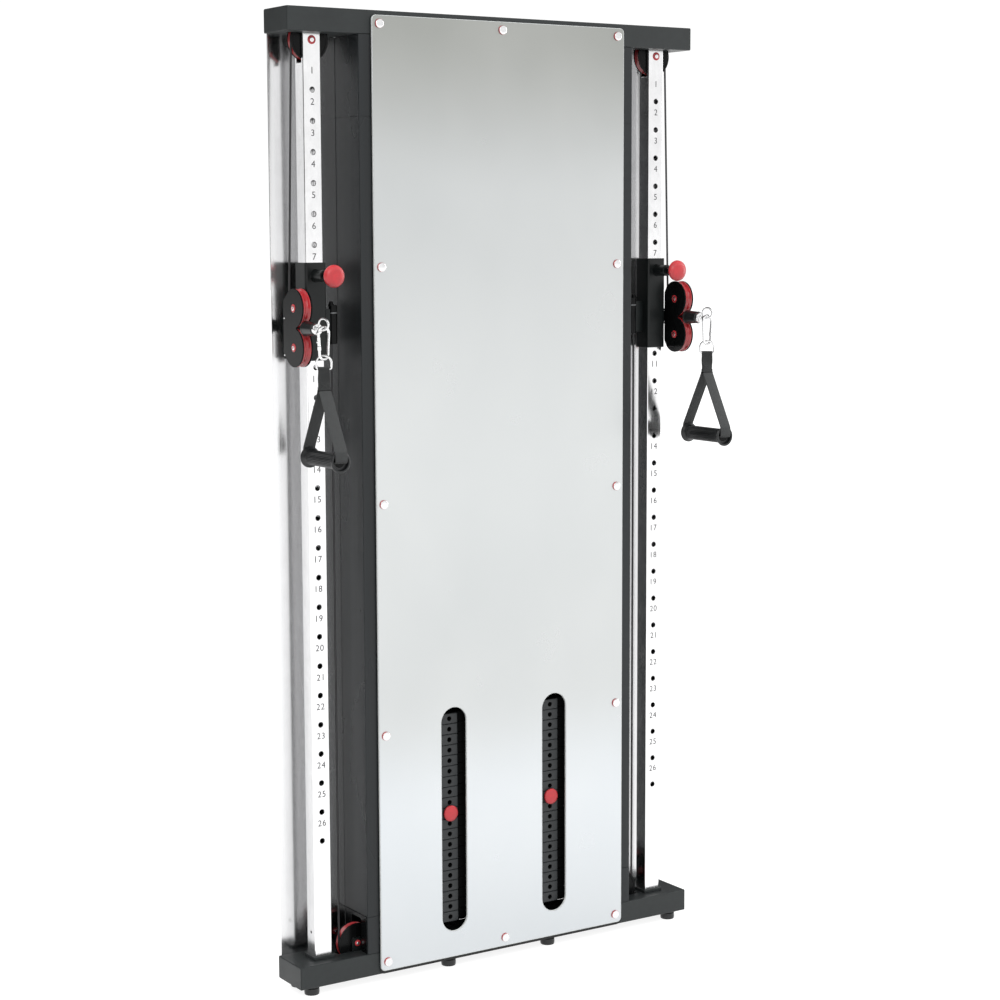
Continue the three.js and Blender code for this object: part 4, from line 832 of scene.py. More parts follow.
@recipe_for("cable", "cable_coating", "cable coating", Coat_Weight=0.2, Coat_Roughness=0.2)
def cable_finish(tree, shader):
    """Black coating over a twisted rope, its lay just showing."""
    twist = noise(tree, 300, (1, 1, 0.15), 2)
    tone = blended(tree, ranged(tree, twist, 0, 1), (0.008, 0.008, 0.009), (0.022, 0.022, 0.024))
    coat(tree, shader, tone, twist, 0.3, 0.5, twist, 0.25, 0.0002)


@recipe_for("floor", None, "pale floor", Roughness=0.9, Specular_IOR_Level=0)
def floor_finish(tree, shader):
    """Pale floor: bright to the eye and in polished faces, a weaker source of soft light."""
    floor_tone = bpy.context.scene.station_studio.floor_tone
    grain = noise(tree, 3, detail_level=5)
    connect(tree, shader, {"Base Color": shades(tree, grain, floor_tone, 0.995, 1)})
    glow = add_node(tree, "ShaderNodeEmission", {"Color": (1, 1, 1, 1), "Strength": 0.86})
    bright = add_node(tree, "ShaderNodeAddShader", {0: shader.outputs["BSDF"], 1: glow.outputs["Emission"]})
    ray = add_node(tree, "ShaderNodeLightPath")
    mix = add_node(tree, "ShaderNodeMixShader", {
        0: ray.outputs["Is Diffuse Ray"], 1: bright.outputs["Shader"], 2: shader.outputs["BSDF"]})
    connect(tree, tree.nodes["Material Output"], {"Surface": mix.outputs["Shader"]})


# Beams, feet and pulley brackets.


def bracket(bm, x, z, seat):
    """Two cheeks that hold a pulley: square at their seat, round past the axle."""
    way = 1 if seat < z else -1
    end = z + way * BRACKET_END
    outline = eased([(x - BRACKET_HALF, seat, 0), (x + BRACKET_HALF, seat, 0),
                     (x + BRACKET_HALF, end, 11), (x - BRACKET_HALF, end, 11)], 0, steps=6)
    for low in (CABLE_Y - BRACKET_OUTER, CABLE_Y + BRACKET_INNER):
        slab(bm, outline, low, low + BRACKET_OUTER - BRACKET_INNER, "XZ", edge=0.7)


def axle(bush, bolt, x, z):
    """An axle along Y, with a red bush and a bolt head on both ends."""
    for way in (-1, 1):
        centre = (x, CABLE_Y + way * (BRACKET_OUTER - 0.2), z)
        lathe(bush, [(0, 0), (7.5, 0), (7.5, 1.2), (5.5, 2), (0, 2)], centre, (0, way, 0), 32, 0.4)
        lathe(bolt, [(0, 1.5), (4.1, 1.5), (4.1, 3.2), (3.1, 3.8), (0, 3.8)], centre, (0, way, 0), 24, 0.3)
    rod(bolt, 5.6, -BRACKET_OUTER, BRACKET_OUTER, (x, CABLE_Y, z), BACK)


def make_beam(name, low, slot_places, slot_z):
    """A folded hollow beam with pulley slots and two push-in end caps."""
    high = low + BEAM_HEIGHT
    corner = detail("beam_corner")
    cap_x = HALF_WIDTH - 1.2
    outline = rounded_rectangle(FRONT_Y, low, BACK_Y, high, corner, 4)
    shell = slab(bmesh.new(), outline, -cap_x, cap_x, "YZ", edge=0.5)
    cutter = block(bmesh.new(), (-cap_x + 8, FRONT_Y + BEAM_WALL, low + BEAM_WALL),
                   (cap_x - 8, BACK_Y - BEAM_WALL, high - BEAM_WALL), 1, 0)
    for x, rim in slot_places:
        for sign in (-1, 1):
            block(cutter, (sign * x - rim - 4, CABLE_Y - BRACKET_INNER, slot_z - 8),
                  (sign * x + rim + 4, CABLE_Y + BRACKET_INNER, slot_z + 8), 3, 0)
    piece(f"{name}_shell", carved(shell, cutter), "beam", nodes=(name,))
    ends = bmesh.new()
    outline = rounded_rectangle(FRONT_Y + 1.2, low + 1.2, BACK_Y - 1.2, high - 1.2, corner, 4)
    for sign in (-1, 1):
        near, far = sorted((sign * (cap_x - 0.5), sign * HALF_WIDTH))
        slab(ends, outline, near, far, "YZ", edge=0.8, steps=3)
    piece(f"{name}_end_caps", ends, "beam")


def make_beams():
    make_beam("bottom_beam", LOW_BEAM_Z, ((BOTTOM_PULLEY[0], BIG_RIM), (TAIL_PULLEY[0], TAIL_RIM)),
              LOW_BEAM_Z + BEAM_HEIGHT - BEAM_WALL / 2)
    make_beam("top_beam", HIGH_BEAM_Z, [(x, BIG_RIM) for x in (UPRIGHT_X, HEADER_OUTER_X, HEADER_INNER_X)],
              HIGH_BEAM_Z + BEAM_WALL / 2)
    foot = [(0, 0), (17.2, 0, 1.4), (18, 6, 0.6), (17.6, 15.4, 1.2), (15, 16.2, 0.4), (15, 18.2, 0.4),
            (20.5, 18.4, 0.5), (20.5, 20.4, 0.3), (0, 20.4)]
    low_seat = LOW_BEAM_Z + BEAM_HEIGHT
    high_seat = HIGH_BEAM_Z + BEAM_WALL
    margin = 6.0
    for side in SIGNS:
        feet = bmesh.new()
        for x, y in FOOT_PLACES:
            lathe(feet, foot, (x, y, 0), UP, 40, 0.5, 3)
        piece("feet", feet, "rubber", side=side)
        outline = rounded_rectangle(UPRIGHT_X - UPRIGHT_HALF - margin, UPRIGHT_FRONT - margin,
                                    UPRIGHT_X + UPRIGHT_HALF + margin, UPRIGHT_BACK + margin, 4)
        plinth = slab(bmesh.new(), outline, low_seat - 1, low_seat + 8, "XY", edge=1.5, steps=3)
        piece("plinth", plinth, "beam", side=side)
        brackets, bush, bolt = bmesh.new(), bmesh.new(), bmesh.new()
        for x, z, seat in ((*BOTTOM_PULLEY, low_seat - BEAM_WALL), (*TAIL_PULLEY, low_seat - BEAM_WALL - 8),
                           (HEADER_OUTER_X, TOP_PULLEY_Z, high_seat),
                           (HEADER_INNER_X, TOP_PULLEY_Z, high_seat)):
            bracket(brackets, x, z, seat)
            axle(bush, bolt, x, z)
        piece("pulley_brackets", brackets, "carriage", side=side)
        piece("bracket_bushes", bush, "red", side=side)
        piece("bracket_bolts", bolt, "fitting", side=side)


# Mirror, its board and the cap screws.


def window_outlines():
    half = WINDOW_RADIUS
    return [rounded_rectangle(x - half, WINDOW_LOW, x + half, WINDOW_HIGH, half, 20)
            for x in (-WINDOW_X, WINDOW_X)]


def cap_places():
    """Two caps in each row, and a middle one at the top and the bottom."""
    places = []
    for row in range(CAP_ROWS):
        middle = (0.0,) if row in (0, CAP_ROWS - 1) else ()
        places += [(x, CAP_LOW_Z + row * CAP_PITCH) for x in (-CAP_X, CAP_X, *middle)]
    return places


def make_mirror():
    edge = detail("glass_edge")
    windows = window_outlines()
    outline = rounded_rectangle(-MIRROR_HALF, MIRROR_LOW, MIRROR_HALF, MIRROR_HIGH, MIRROR_CORNER, 8)
    inside = grown(outline, -edge)
    holes = [grown(hole, edge) for hole in windows]
    glass = slab(bmesh.new(), inside, GLASS_FRONT, GLASS_BACK, "XZ", holes, 0.05, 1)
    piece("mirror_glass_pane", glass, "mirror", nodes=("mirror_glass",))
    rims = slab(bmesh.new(), outline, GLASS_FRONT + 0.1, GLASS_BACK, "XZ", [grown(inside, -0.1)], 0.6, 3)
    for hole in windows:
        slab(rims, grown(hole, edge + 0.1), GLASS_FRONT + 0.1, GLASS_BACK, "XZ", [hole], 0.6, 3)
    piece("mirror_ground_edges", rims, "ground")
    outline = rounded_rectangle(-MIRROR_HALF, BOARD_LOW, MIRROR_HALF, MIRROR_HIGH, MIRROR_CORNER, 8)
    board = slab(bmesh.new(), outline, BOARD_FRONT, BOARD_BACK, "XZ", windows, 0.5)
    piece("mirror_board", board, "board", nodes=("mirror_backing",))
    washers, domes = bmesh.new(), bmesh.new()
    for x, z in cap_places():
        centre = (x, GLASS_FRONT - 0.3, z)
        lathe(washers, [(0, 0), (10.5, 0), (10.5, 2.5), (9.4, 2.7), (0, 2.7)], centre, FRONT, 40, 0.3)
        turned(domes, [(0, 2.5), (10.1, 2.5), (10.1, 2.9), (9.6, 3.4), (8.2, 3.8), (5.2, 4), (0, 4.05)],
               centre, FRONT, 40)
    piece("mirror_cap_washers", washers, "red")
    piece("mirror_cap_domes", domes, "fitting")


# Uprights with their holes and printed numbers.


def number_shape(bm, text, x, z):
    """A number as thin raised ink, centred at a height on the front of the upright."""
    curve = bpy.data.curves.new("number", "FONT")
    curve.body = text
    curve.align_x = "CENTER"
    curve.size = 1.0
    curve.space_character = 1.12
    curve.resolution_u = 6
    obj = bpy.data.objects.new("number", curve)
    bpy.context.scene.collection.objects.link(obj)
    bpy.context.view_layer.update()
    mesh = bpy.data.meshes.new_from_object(obj.evaluated_get(bpy.context.evaluated_depsgraph_get()))
    across = [vert.co.x for vert in mesh.vertices]
    upward = [vert.co.y for vert in mesh.vertices]
    scale = detail("number_height") / (max(upward) - min(upward))
    flat = bmesh.new()
    flat.from_mesh(mesh)
    bmesh.ops.remove_doubles(flat, verts=flat.verts, dist=1e-4)
    grow = bmesh.ops.extrude_face_region(flat, geom=list(flat.faces))
    lifted = [item for item in grow["geom"] if isinstance(item, bmesh.types.BMVert)]
    bmesh.ops.translate(flat, verts=lifted, vec=(0, 0, 0.012))
    for vert in flat.verts:
        a = (vert.co.x - (min(across) + max(across)) / 2) * scale
        b = (vert.co.y - (min(upward) + max(upward)) / 2) * scale
        vert.co = (x + a, UPRIGHT_FRONT + 0.05 - vert.co.z * scale, z + b)
    stored = bpy.data.meshes.new("number ink")
    flat.to_mesh(stored)
    flat.free()
    bm.from_mesh(stored)
    bpy.data.objects.remove(obj)
    bpy.data.curves.remove(curve)
    for used in (mesh, stored):
        bpy.data.meshes.remove(used)


def make_upright(side):
    left = UPRIGHT_X - UPRIGHT_HALF
    right = UPRIGHT_X + UPRIGHT_HALF
    wall = UPRIGHT_WALL
    bore = rounded_rectangle(left + wall, UPRIGHT_FRONT + wall, right - wall, UPRIGHT_BACK - wall, 1, 2)
    outline = rounded_rectangle(left, UPRIGHT_FRONT, right, UPRIGHT_BACK, detail("upright_corner"), 5)
    tube = slab(bmesh.new(), outline, UPRIGHT_LOW, PANEL_HIGH, "XY", [bore], 0.4)
    cutter = bmesh.new()
    holes = [FIRST_HOLE_Z - i * HOLE_PITCH for i in range(HOLE_COUNT)]
    for z in holes:
        turned(cutter, [(0, -2), (HOLE_RADIUS + 0.9, -2), (HOLE_RADIUS + 0.6, 0), (HOLE_RADIUS + 0.3, 0.5),
                        (HOLE_RADIUS, 1), (HOLE_RADIUS, 8), (0, 8)], (UPRIGHT_X, UPRIGHT_FRONT, z), BACK, 32)
    rod(cutter, SIDE_HOLE_RADIUS, -6, 6, (right, CABLE_Y, SIDE_HOLE_Z), RIGHT)
    block(cutter, (UPRIGHT_X - 60, CABLE_Y - BRACKET_INNER, TOP_PULLEY_Z - BIG_RIM - 4),
          (UPRIGHT_X + 60, CABLE_Y + BRACKET_INNER, PANEL_HIGH + 20), 2, 0)
    piece("upright_tube", carved(tube, cutter), "plated", nodes=("upright",), side=side)
    centre = (UPRIGHT_X, UPRIGHT_FRONT, TOP_PULLEY_Z)
    bush = lathe(bmesh.new(), [(0, -1), (10, -1), (10, 1), (8.6, 1.8), (0, 1.8)], centre, FRONT, 40, 0.4)
    piece("top_bush", bush, "red", side=side)
    bolt = lathe(bmesh.new(), [(0, 0), (5.2, 0), (5.2, 2.6), (4.2, 3), (0, 3)], centre, FRONT, 24, 0.4)
    piece("top_bolt", rod(bolt, 6, 0, 38.5, centre, BACK), "fitting", side=side)
    numbers = bmesh.new()
    for i, z in enumerate(holes):
        number_shape(numbers, str(i + 1), SIGNS[side] * UPRIGHT_X, z + NUMBER_RISE)
    piece("hole_numbers", numbers, "ink", side=side, mirror=False, weighted=False)


# Rear plates, casing sides and the back panel.


def make_casing(side):
    outline = rounded_rectangle(REAR_INNER_X, PANEL_LOW - 1, REAR_OUTER_X, PANEL_HIGH + 1, 1.5, 3)
    plate = slab(bmesh.new(), outline, PANEL_FRONT, BACK_Y, "XZ", edge=0.7)
    piece("rear_sheet", plate, "sheet", nodes=("rear_plate",), side=side)
    inner_x = CASING_X - CASING_SHEET
    inner_y = FRONT_Y + CASING_SHEET
    fold = eased([(CASING_FLANGE_X, FRONT_Y, 0.6), (CASING_X, FRONT_Y, 2.6), (CASING_X, CASING_BACK, 0.4),
                  (inner_x, CASING_BACK, 0.4), (inner_x, inner_y, 0.8), (CASING_FLANGE_X, inner_y, 0.6)], 0.6)
    sheet = slab(bmesh.new(), fold, PANEL_LOW, PANEL_HIGH, "XY", edge=0.3)
    cutter = block(bmesh.new(), (CASING_X - 12, FRONT_Y + 6, PANEL_LOW - 8),
                   (CASING_X + 8, CASING_BACK + 6, OPENING_HIGH + SEAM_HALF), 0.1, 0, "YZ")
    for z in (OPENING_HIGH, SEAM_Z):
        low = z - SEAM_HALF
        high = z + SEAM_HALF
        block(cutter, (CASING_X - SEAM_DEPTH, FRONT_Y + 2, low),
              (CASING_X + 3, CASING_BACK + 4, high), 0.1, 0)
        block(cutter, (CASING_FLANGE_X - 4, FRONT_Y - 4, low),
              (CASING_X + 3, FRONT_Y + SEAM_DEPTH, high), 0.1, 0)
    piece("casing_sheet", carved(sheet, cutter), "casing", nodes=("casing_side",), side=side)
    outline = rounded_rectangle(FRONT_Y + 7, PANEL_LOW, CASING_BACK, OPENING_HIGH - SEAM_HALF, 1, 2)
    guard = slab(bmesh.new(), outline, inner_x, CASING_X - 0.2, "YZ", edge=0.4)
    cutter = block(bmesh.new(), (CASING_X - 12, CABLE_Y - 22, PANEL_LOW - 8),
                   (CASING_X + 8, CABLE_Y + 22, OPENING_HIGH - 10), 3, 0, "YZ")
    piece("pulley_guard", carved(guard, cutter), "gloss", side=side)


def make_back_panel():
    outline = rounded_rectangle(-BACK_SHEET_HALF, PANEL_LOW, BACK_SHEET_HALF, PANEL_HIGH, 2, 3)
    panel = slab(bmesh.new(), outline, PANEL_FRONT, BACK_Y, "XZ", edge=0.7)
    piece("back_sheet", panel, "casing", nodes=("back_panel",))


# Pulleys.


def make_wheel(side, name, x, z, rim, groove, bore):
    """A pulley on an axle along Y: a red grooved core between two black flanges."""
    half = 10.0
    lip = half - 1.8
    centre = (x, CABLE_Y, z)
    core = [(bore, -lip), (rim - 2, -lip), (groove + 2, -CABLE_RADIUS - 0.9)]
    core += [(groove + 1 - math.cos(t), math.sin(t) * (CABLE_RADIUS + 0.3))
             for t in (-1.2, -0.8, -0.4, 0, 0.4, 0.8, 1.2)]
    core += [(groove + 2, CABLE_RADIUS + 0.9), (rim - 2, lip), (bore, lip)]
    red = turned(bmesh.new(), core, centre, BACK, 72, closed=True)
    black = bmesh.new()
    for way in (-1, 1):
        disc = [(bore, lip), (rim - 0.4, lip), (rim, lip + 0.4), (rim, half - 0.4), (rim - 0.4, half),
                (rim - 5, half), (rim - 6, half - 0.8), (bore + 9, half - 0.8), (bore + 8, half),
                (bore, half)]
        turned(black, [(radius, way * depth) for radius, depth in disc], centre, BACK, 64, closed=True)
    piece(f"{name}_core", red, "wheel", name, (name,), side)
    piece(f"{name}_flanges", black, "gloss", name, side=side)


def make_pulleys(side):
    for name, x, z in (("top_pulley", UPRIGHT_X, TOP_PULLEY_Z), ("bottom_pulley", *BOTTOM_PULLEY),
                       ("header_pulley_outer", HEADER_OUTER_X, TOP_PULLEY_Z),
                       ("header_pulley_inner", HEADER_INNER_X, TOP_PULLEY_Z),
                       ("stack_pulley", STACK_X, STACK_PULLEY_Z)):
        make_wheel(side, name, x, z, BIG_RIM, BIG_GROOVE, 6.4)
    make_wheel(side, "tail_pulley", *TAIL_PULLEY, TAIL_RIM, TAIL_GROOVE, 5.4)


# Weight stacks, guide rods and selector pins.


def weight_plates(low, with_slot):
    """Plates with rounded edges, a drilled nose and holes for the guide rods."""
    outline = eased([(STACK_X + a, b, size) for a, b, size in (
        (-PLATE_HALF, PLATE_FRONT, 8), (-NOSE_HALF, PLATE_FRONT, 2), (-NOSE_HALF, NOSE_FRONT, 2.4),
        (NOSE_HALF, NOSE_FRONT, 2.4), (NOSE_HALF, PLATE_FRONT, 2), (PLATE_HALF, PLATE_FRONT, 8),
        (PLATE_HALF, PLATE_BACK, 8), (-PLATE_HALF, PLATE_BACK, 8))], 2)
    bore = [(0, -6), (PIN_HOLE + 1, -6), (PIN_HOLE + 0.6, 0), (PIN_HOLE, 0.8), (PIN_HOLE, 20), (0, 20)]
    holes = [circle(STACK_X + way * ROD_SPREAD, ROD_Y, 9, 24) for way in (-1, 1)]
    if with_slot:
        holes.append(rounded_rectangle(STACK_X - 13.5, CABLE_Y - 8, STACK_X + 13.5, CABLE_Y + 8, 2, 2))
    column, cutter = bmesh.new(), bmesh.new()
    for i in range(PLATE_COUNT):
        bottom = low + i * PLATE_PITCH
        slab(column, outline, bottom + PLATE_GAP, bottom + PLATE_PITCH - PLATE_GAP, "XY", holes,
             detail("plate_edge"), 3)
        turned(cutter, bore, (STACK_X, NOSE_FRONT, bottom + PLATE_PITCH / 2), BACK, 24)
    return carved(column, cutter)


def make_stack(side):
    for name, low, body, node in (("plates_lifted", LIFTED_LOW, "stack", "stack_lifted"),
                                  ("plates_resting", STACK_LOW, "cabinet", "stack_rest")):
        plates = piece(name, weight_plates(low, body == "cabinet"), "iron", body, (node,), side)
        # The faces behind the noses get the near-black painted shade.
        second_finish(plates, "shade", 1, NOSE_FRONT + 2.6)
    fork = block(bmesh.new(), (STACK_X - 30, CABLE_Y - BRACKET_OUTER, LIFTED_HIGH - 0.5),
                 (STACK_X + 30, CABLE_Y + BRACKET_OUTER, LIFTED_HIGH + 12), 3, 1)
    bracket(fork, STACK_X, STACK_PULLEY_Z, LIFTED_HIGH + 6)
    block(fork, (STACK_X - 12.5, CABLE_Y - 7, STACK_LOW + 0.6),
          (STACK_X + 12.5, CABLE_Y + 7, LIFTED_LOW + 4), 1, 1)
    piece("stack_fork", fork, "carriage", "stack", side=side)
    bush, bolt = bmesh.new(), bmesh.new()
    axle(bush, bolt, STACK_X, STACK_PULLEY_Z)
    piece("stack_bushes", bush, "red", "stack", side=side)
    piece("stack_bolts", bolt, "fitting", "stack", side=side)
    rods, bumpers = bmesh.new(), bmesh.new()
    for way in (-1, 1):
        foot = (STACK_X + way * ROD_SPREAD, ROD_Y, 0)
        lathe(rods, [(0, PANEL_LOW), (ROD_RADIUS, PANEL_LOW), (ROD_RADIUS, PANEL_HIGH), (0, PANEL_HIGH)],
              foot, UP, 40, 0.5)
        bumper = [(8.3, BUMPER_LOW), (16, BUMPER_LOW), (16, BUMPER_HIGH), (8.3, BUMPER_HIGH)]
        lathe(bumpers, bumper, foot, UP, 40, 2, 4, ring=True)
    block(bumpers, (STACK_X - 66, ROD_Y - 18, PANEL_LOW), (STACK_X + 66, ROD_Y + 18, ROD_SEAT_HIGH), 4, 0.8)
    piece("rods", rods, "plated", nodes=("guide_rods",), side=side)
    piece("rod_bumpers", bumpers, "board", side=side)
    centre = (STACK_X, 0, SELECTOR_Z)
    knob = [(0, 37.5), (SELECTOR_KNOB - 4, 37.7, 3), (SELECTOR_KNOB, 39.8, 1.6), (SELECTOR_KNOB, 43.4, 1.4),
            (SELECTOR_KNOB - 2, 45.9, 0.8), (0, 45.9)]
    piece("selector_knob", lathe(bmesh.new(), knob, centre, BACK, 64, 1, 4), "red", "selector_pin",
          ("selector_pin",), side)
    shaft = [(0, 45.4), (4.5, 45.4), (4.5, 101.5, 2), (0, 101.5)]
    piece("selector_shaft", lathe(bmesh.new(), shaft, centre, BACK, 32, 0.2, 3), "fitting", "selector_pin",
          side=side)


# Carriages with their pull pins.


def make_carriage(side):
    centre = (UPRIGHT_X, 0, PIN_Z)
    bore = rounded_rectangle(UPRIGHT_X - 22.85, CABLE_Y - 20.6, UPRIGHT_X + 22.85, CABLE_Y + 20.6, 2.6, 4)
    outline = rounded_rectangle(UPRIGHT_X - SLEEVE_HALF, CABLE_Y - SLEEVE_HALF, UPRIGHT_X + SLEEVE_HALF,
                                CABLE_Y + SLEEVE_HALF, detail("sleeve_corner"), 8)
    sleeve = slab(bmesh.new(), outline, SLEEVE_LOW, SLEEVE_HIGH, "XY", [bore], 1, 3)
    housing = [(5.2, 19.5), (12.9, 19.5, 0.8), (13.75, 21, 0.8), (13.75, 62, 1), (15.5, 64.6, 0.6),
               (5.2, 64.6)]
    lathe(sleeve, housing, centre, BACK, 48, 0.3, 3, ring=True)
    block(sleeve, (ANCHOR_X + 4, CABLE_Y - 4, WEB_LOW), (UPRIGHT_X - SLEEVE_HALF + 1, CABLE_Y + 4, WEB_HIGH),
          1.5, 1.2, "XZ")
    block(sleeve, (UPRIGHT_X + SLEEVE_HALF - 1, LUG_FRONT, BLOCK_Z - 39.5),
          (515, LUG_FRONT + 8, BLOCK_Z + 39.5), 4, 1.2, "XZ")
    block(sleeve, (512, LUG_FRONT, BLOCK_Z - 14), (527.5, LUG_FRONT + 6.5, BLOCK_Z + 14), 2, 1, "XZ")
    lathe(sleeve, [(3.4, -14), (7.5, -14), (7.5, 14), (3.4, 14)], (BLOCK_X, CABLE_Y, BLOCK_Z), UP, 40, 0.8, 3,
          ring=True)
    piece("sleeve", sleeve, "carriage", "carriage", ("carriage_sleeve",), side)
    anchor = block(bmesh.new(), (ANCHOR_X - 9, CABLE_Y - 8, ANCHOR_LOW),
                   (ANCHOR_X + 9, CABLE_Y + 8, ANCHOR_HIGH), 5, 1.6)
    lathe(anchor, [(0, -2), (7.2, -2), (7.2, 1.6), (5, 1.8), (5, 6.6), (4.2, 8), (0, 8)],
          (INNER_CABLE_X, CABLE_Y, ANCHOR_HIGH), UP, 32, 0.4)
    piece("cable_anchor", anchor, "gloss", "carriage", side=side)
    hoop = block(bmesh.new(), (ANCHOR_X - 9.3, CABLE_Y - 8.3, ANCHOR_HIGH - 20),
                 (ANCHOR_X + 9.3, CABLE_Y + 8.3, ANCHOR_HIGH - 16.5), 5, 1)
    piece("anchor_band", hoop, "worn", "carriage", side=side)
    knob = [(0, -31.3), (10, -31), (17, -29.8), (22, -27.2), (24.9, -23.4), (25.5, -19.6), (24.6, -16.4),
            (21.6, -12.6), (17, -8.2), (12.4, -4.4), (9.4, -1.8), (8.4, -1.3), (0, -1.3)]
    piece("pull_knob", turned(bmesh.new(), knob, centre, BACK, 72), "red", "pull_pin", ("pull_pin",), side,
          sharp=50)
    neck = [(0, -1.5), (8, -1.5), (8, 3), (6.6, 3.6), (6.6, 6), (8, 6.6), (8, 19.2), (4.7, 19.2),
            (4.7, 69.9, 1.5), (0, 69.9)]
    piece("pull_neck", lathe(bmesh.new(), neck, centre, BACK, 40, 0.5, 3), "gloss", "pull_pin", side=side)
    ring = [(6, -3.4), (11.6, -3.4), (11.6, -0.4), (8.6, 1.6), (6, 1.6)]
    piece("pull_ring", lathe(bmesh.new(), ring, centre, BACK, 40, 0.5, ring=True), "fitting", "pull_pin",
          side=side)


# Swivelling pulley blocks and the cable ends.


def cheek_outline(rear):
    """Two round lobes that meet in a deep notch at the front, and a straight rear edge."""
    top = AXLE_RISE + CHEEK_RADIUS * math.sqrt(0.5)
    points = [(AXLE_Y + a, BLOCK_Z + b) for a, b in arc(0, -AXLE_RISE, CHEEK_RADIUS, 106, 315, 44)]
    points += [(AXLE_Y + rear, BLOCK_Z - top + 15, 4), (AXLE_Y + rear, BLOCK_Z + top - 15, 4)]
    points += [(AXLE_Y + a, BLOCK_Z + b) for a, b in arc(0, AXLE_RISE, CHEEK_RADIUS, 45, 254, 44)]
    return eased(points, 0)


def make_cheeks(side):
    cheeks = bmesh.new()
    for rear, low in ((OUTER_REAR, BLOCK_X + CHEEK_IN), (INNER_REAR, BLOCK_X - CHEEK_OUT)):
        slab(cheeks, cheek_outline(rear), low, low + CHEEK_OUT - CHEEK_IN, "YZ", edge=0.7, steps=3)
    piece("cheeks", cheeks, "gloss", "block", ("block_frame",), side)
    hinge = bmesh.new()
    for low in (14.3, -18.9):
        block(hinge, (BLOCK_X - 11.5, CABLE_Y - 4.8, BLOCK_Z + low),
              (BLOCK_X + 11.5, CABLE_Y + 5.7, BLOCK_Z + low + 4.6), 2.5, 0.8)
    rod(hinge, 3, -17, 17, (BLOCK_X, CABLE_Y, BLOCK_Z), UP)
    piece("hinge_ears", hinge, "carriage", "block", side=side)
    bush, bolt = bmesh.new(), bmesh.new()
    for way in (-1, 1):
        z = BLOCK_Z + way * AXLE_RISE
        rod(bolt, 5, -12, 12, (BLOCK_X, AXLE_Y, z), RIGHT)
        for out in (1, -1):
            face = (BLOCK_X + out * CHEEK_OUT, AXLE_Y, z)
            lathe(bush, [(0, -0.5), (9.4, -0.5), (9.4, 0.7), (8, 1.3), (0, 1.3)], face, (out, 0, 0), 36, 0.3)
            head = [(0, 0.8), (5.4, 0.8), (5.4, 1.9), (4.4, 2.4), (2.4, 2.4, 0.1), (2.4, 1.2, 0.1), (0, 1.2)]
            lathe(bolt, head, face, (out, 0, 0), 24, 0.3)
    for rise in (21.9, -61.7):
        lathe(bolt, [(0, -0.5), (2.6, -0.5), (2.6, 0.8), (0, 1.2)],
              (BLOCK_X + CHEEK_OUT, 90, BLOCK_Z + rise), RIGHT, 20, 0.3)
    piece("block_bushes", bush, "red", "block", side=side)
    piece("block_bolts", bolt, "fitting", "block", side=side)


def make_block_wheels(side):
    half = [(5.4, 9), (42.9, 9), (43.7, 8.2), (43.7, 6.6), (42.8, 5.8), (40.6, 4.6), (39.4, 2.8), (38.9, 1.2)]
    profile = [(radius, -depth) for radius, depth in half] + half[::-1]
    for name, rise in (("upper", AXLE_RISE), ("lower", -AXLE_RISE)):
        red = turned(bmesh.new(), profile, (BLOCK_X, AXLE_Y, BLOCK_Z + rise), RIGHT, 96, closed=True)
        piece(f"block_wheel_{name}", red, "wheel", f"block_pulley_{name}", (f"block_pulley_{name}",), side)


def make_cable_end(side):
    centre = (BLOCK_X, 0, BLOCK_Z)
    stop = [(0, -9.2), (16.4, -9.2, 0.8), (17, -7.8, 0.8), (17, -4.6, 0.6), (16.2, -4, 0.4),
            (14.4, 33.6, 0.5), (15, 34.4, 0.5), (14.4, 35.8, 0.6), (0, 35.8)]
    piece("rubber_stop", lathe(bmesh.new(), stop, centre, FRONT, 56, 0.4, 3), "rubber", "block",
          ("cable_stop",), side)
    collar = lathe(bmesh.new(), [(0, 34), (12.8, 34), (12.8, 42.6, 0.9), (11.4, 43.8, 0.6), (5.4, 43.8, 0.5),
                                 (4.5, 45, 0.5), (4.5, 61.7), (0, 61.7)], centre, FRONT, 48, 0.4, 3)
    wire(collar, [(BLOCK_X, -60, BLOCK_Z), (BLOCK_X, -65, BLOCK_Z - 0.6), (BLOCK_X, HANDLE_Y, BLOCK_Z - 0.6)],
         [4.4, 3.2, 2.4], 16)
    piece("cable_eye", collar, "fitting", "block", side=side)
    turn = Matrix.Rotation(EYE_TURN, 3, "Z")
    eye = Vector((SIGNS[side] * BLOCK_X, HANDLE_Y, EYE_Z))
    loop = [eye + turn @ Vector((0, a, b)) for a, b in circle(0, 0, EYE_RADIUS, 48)]
    ring = wire(bmesh.new(), loop, EYE_WIRE, 16, closed=True)
    piece("eye_ring", ring, "fitting", "block", side=side, mirror=False)
    upper = BLOCK_Z + AXLE_RISE
    path = [(BLOCK_X, 6, BLOCK_Z)]
    path += [(BLOCK_X, AXLE_Y + AXLE_RISE * math.sin(t), upper - AXLE_RISE * math.cos(t))
             for t in (math.pi / 2 * k / 24 for k in range(25))]
    path.append((BLOCK_X, CABLE_Y, upper + 3.2))
    piece("cable_lead", wire(bmesh.new(), path, CABLE_RADIUS, 16), "cable", "block", side=side)


def make_block(side):
    make_cheeks(side)
    make_block_wheels(side)
    make_cable_end(side)


# Handles: snap hook, ring, webbing and grip.


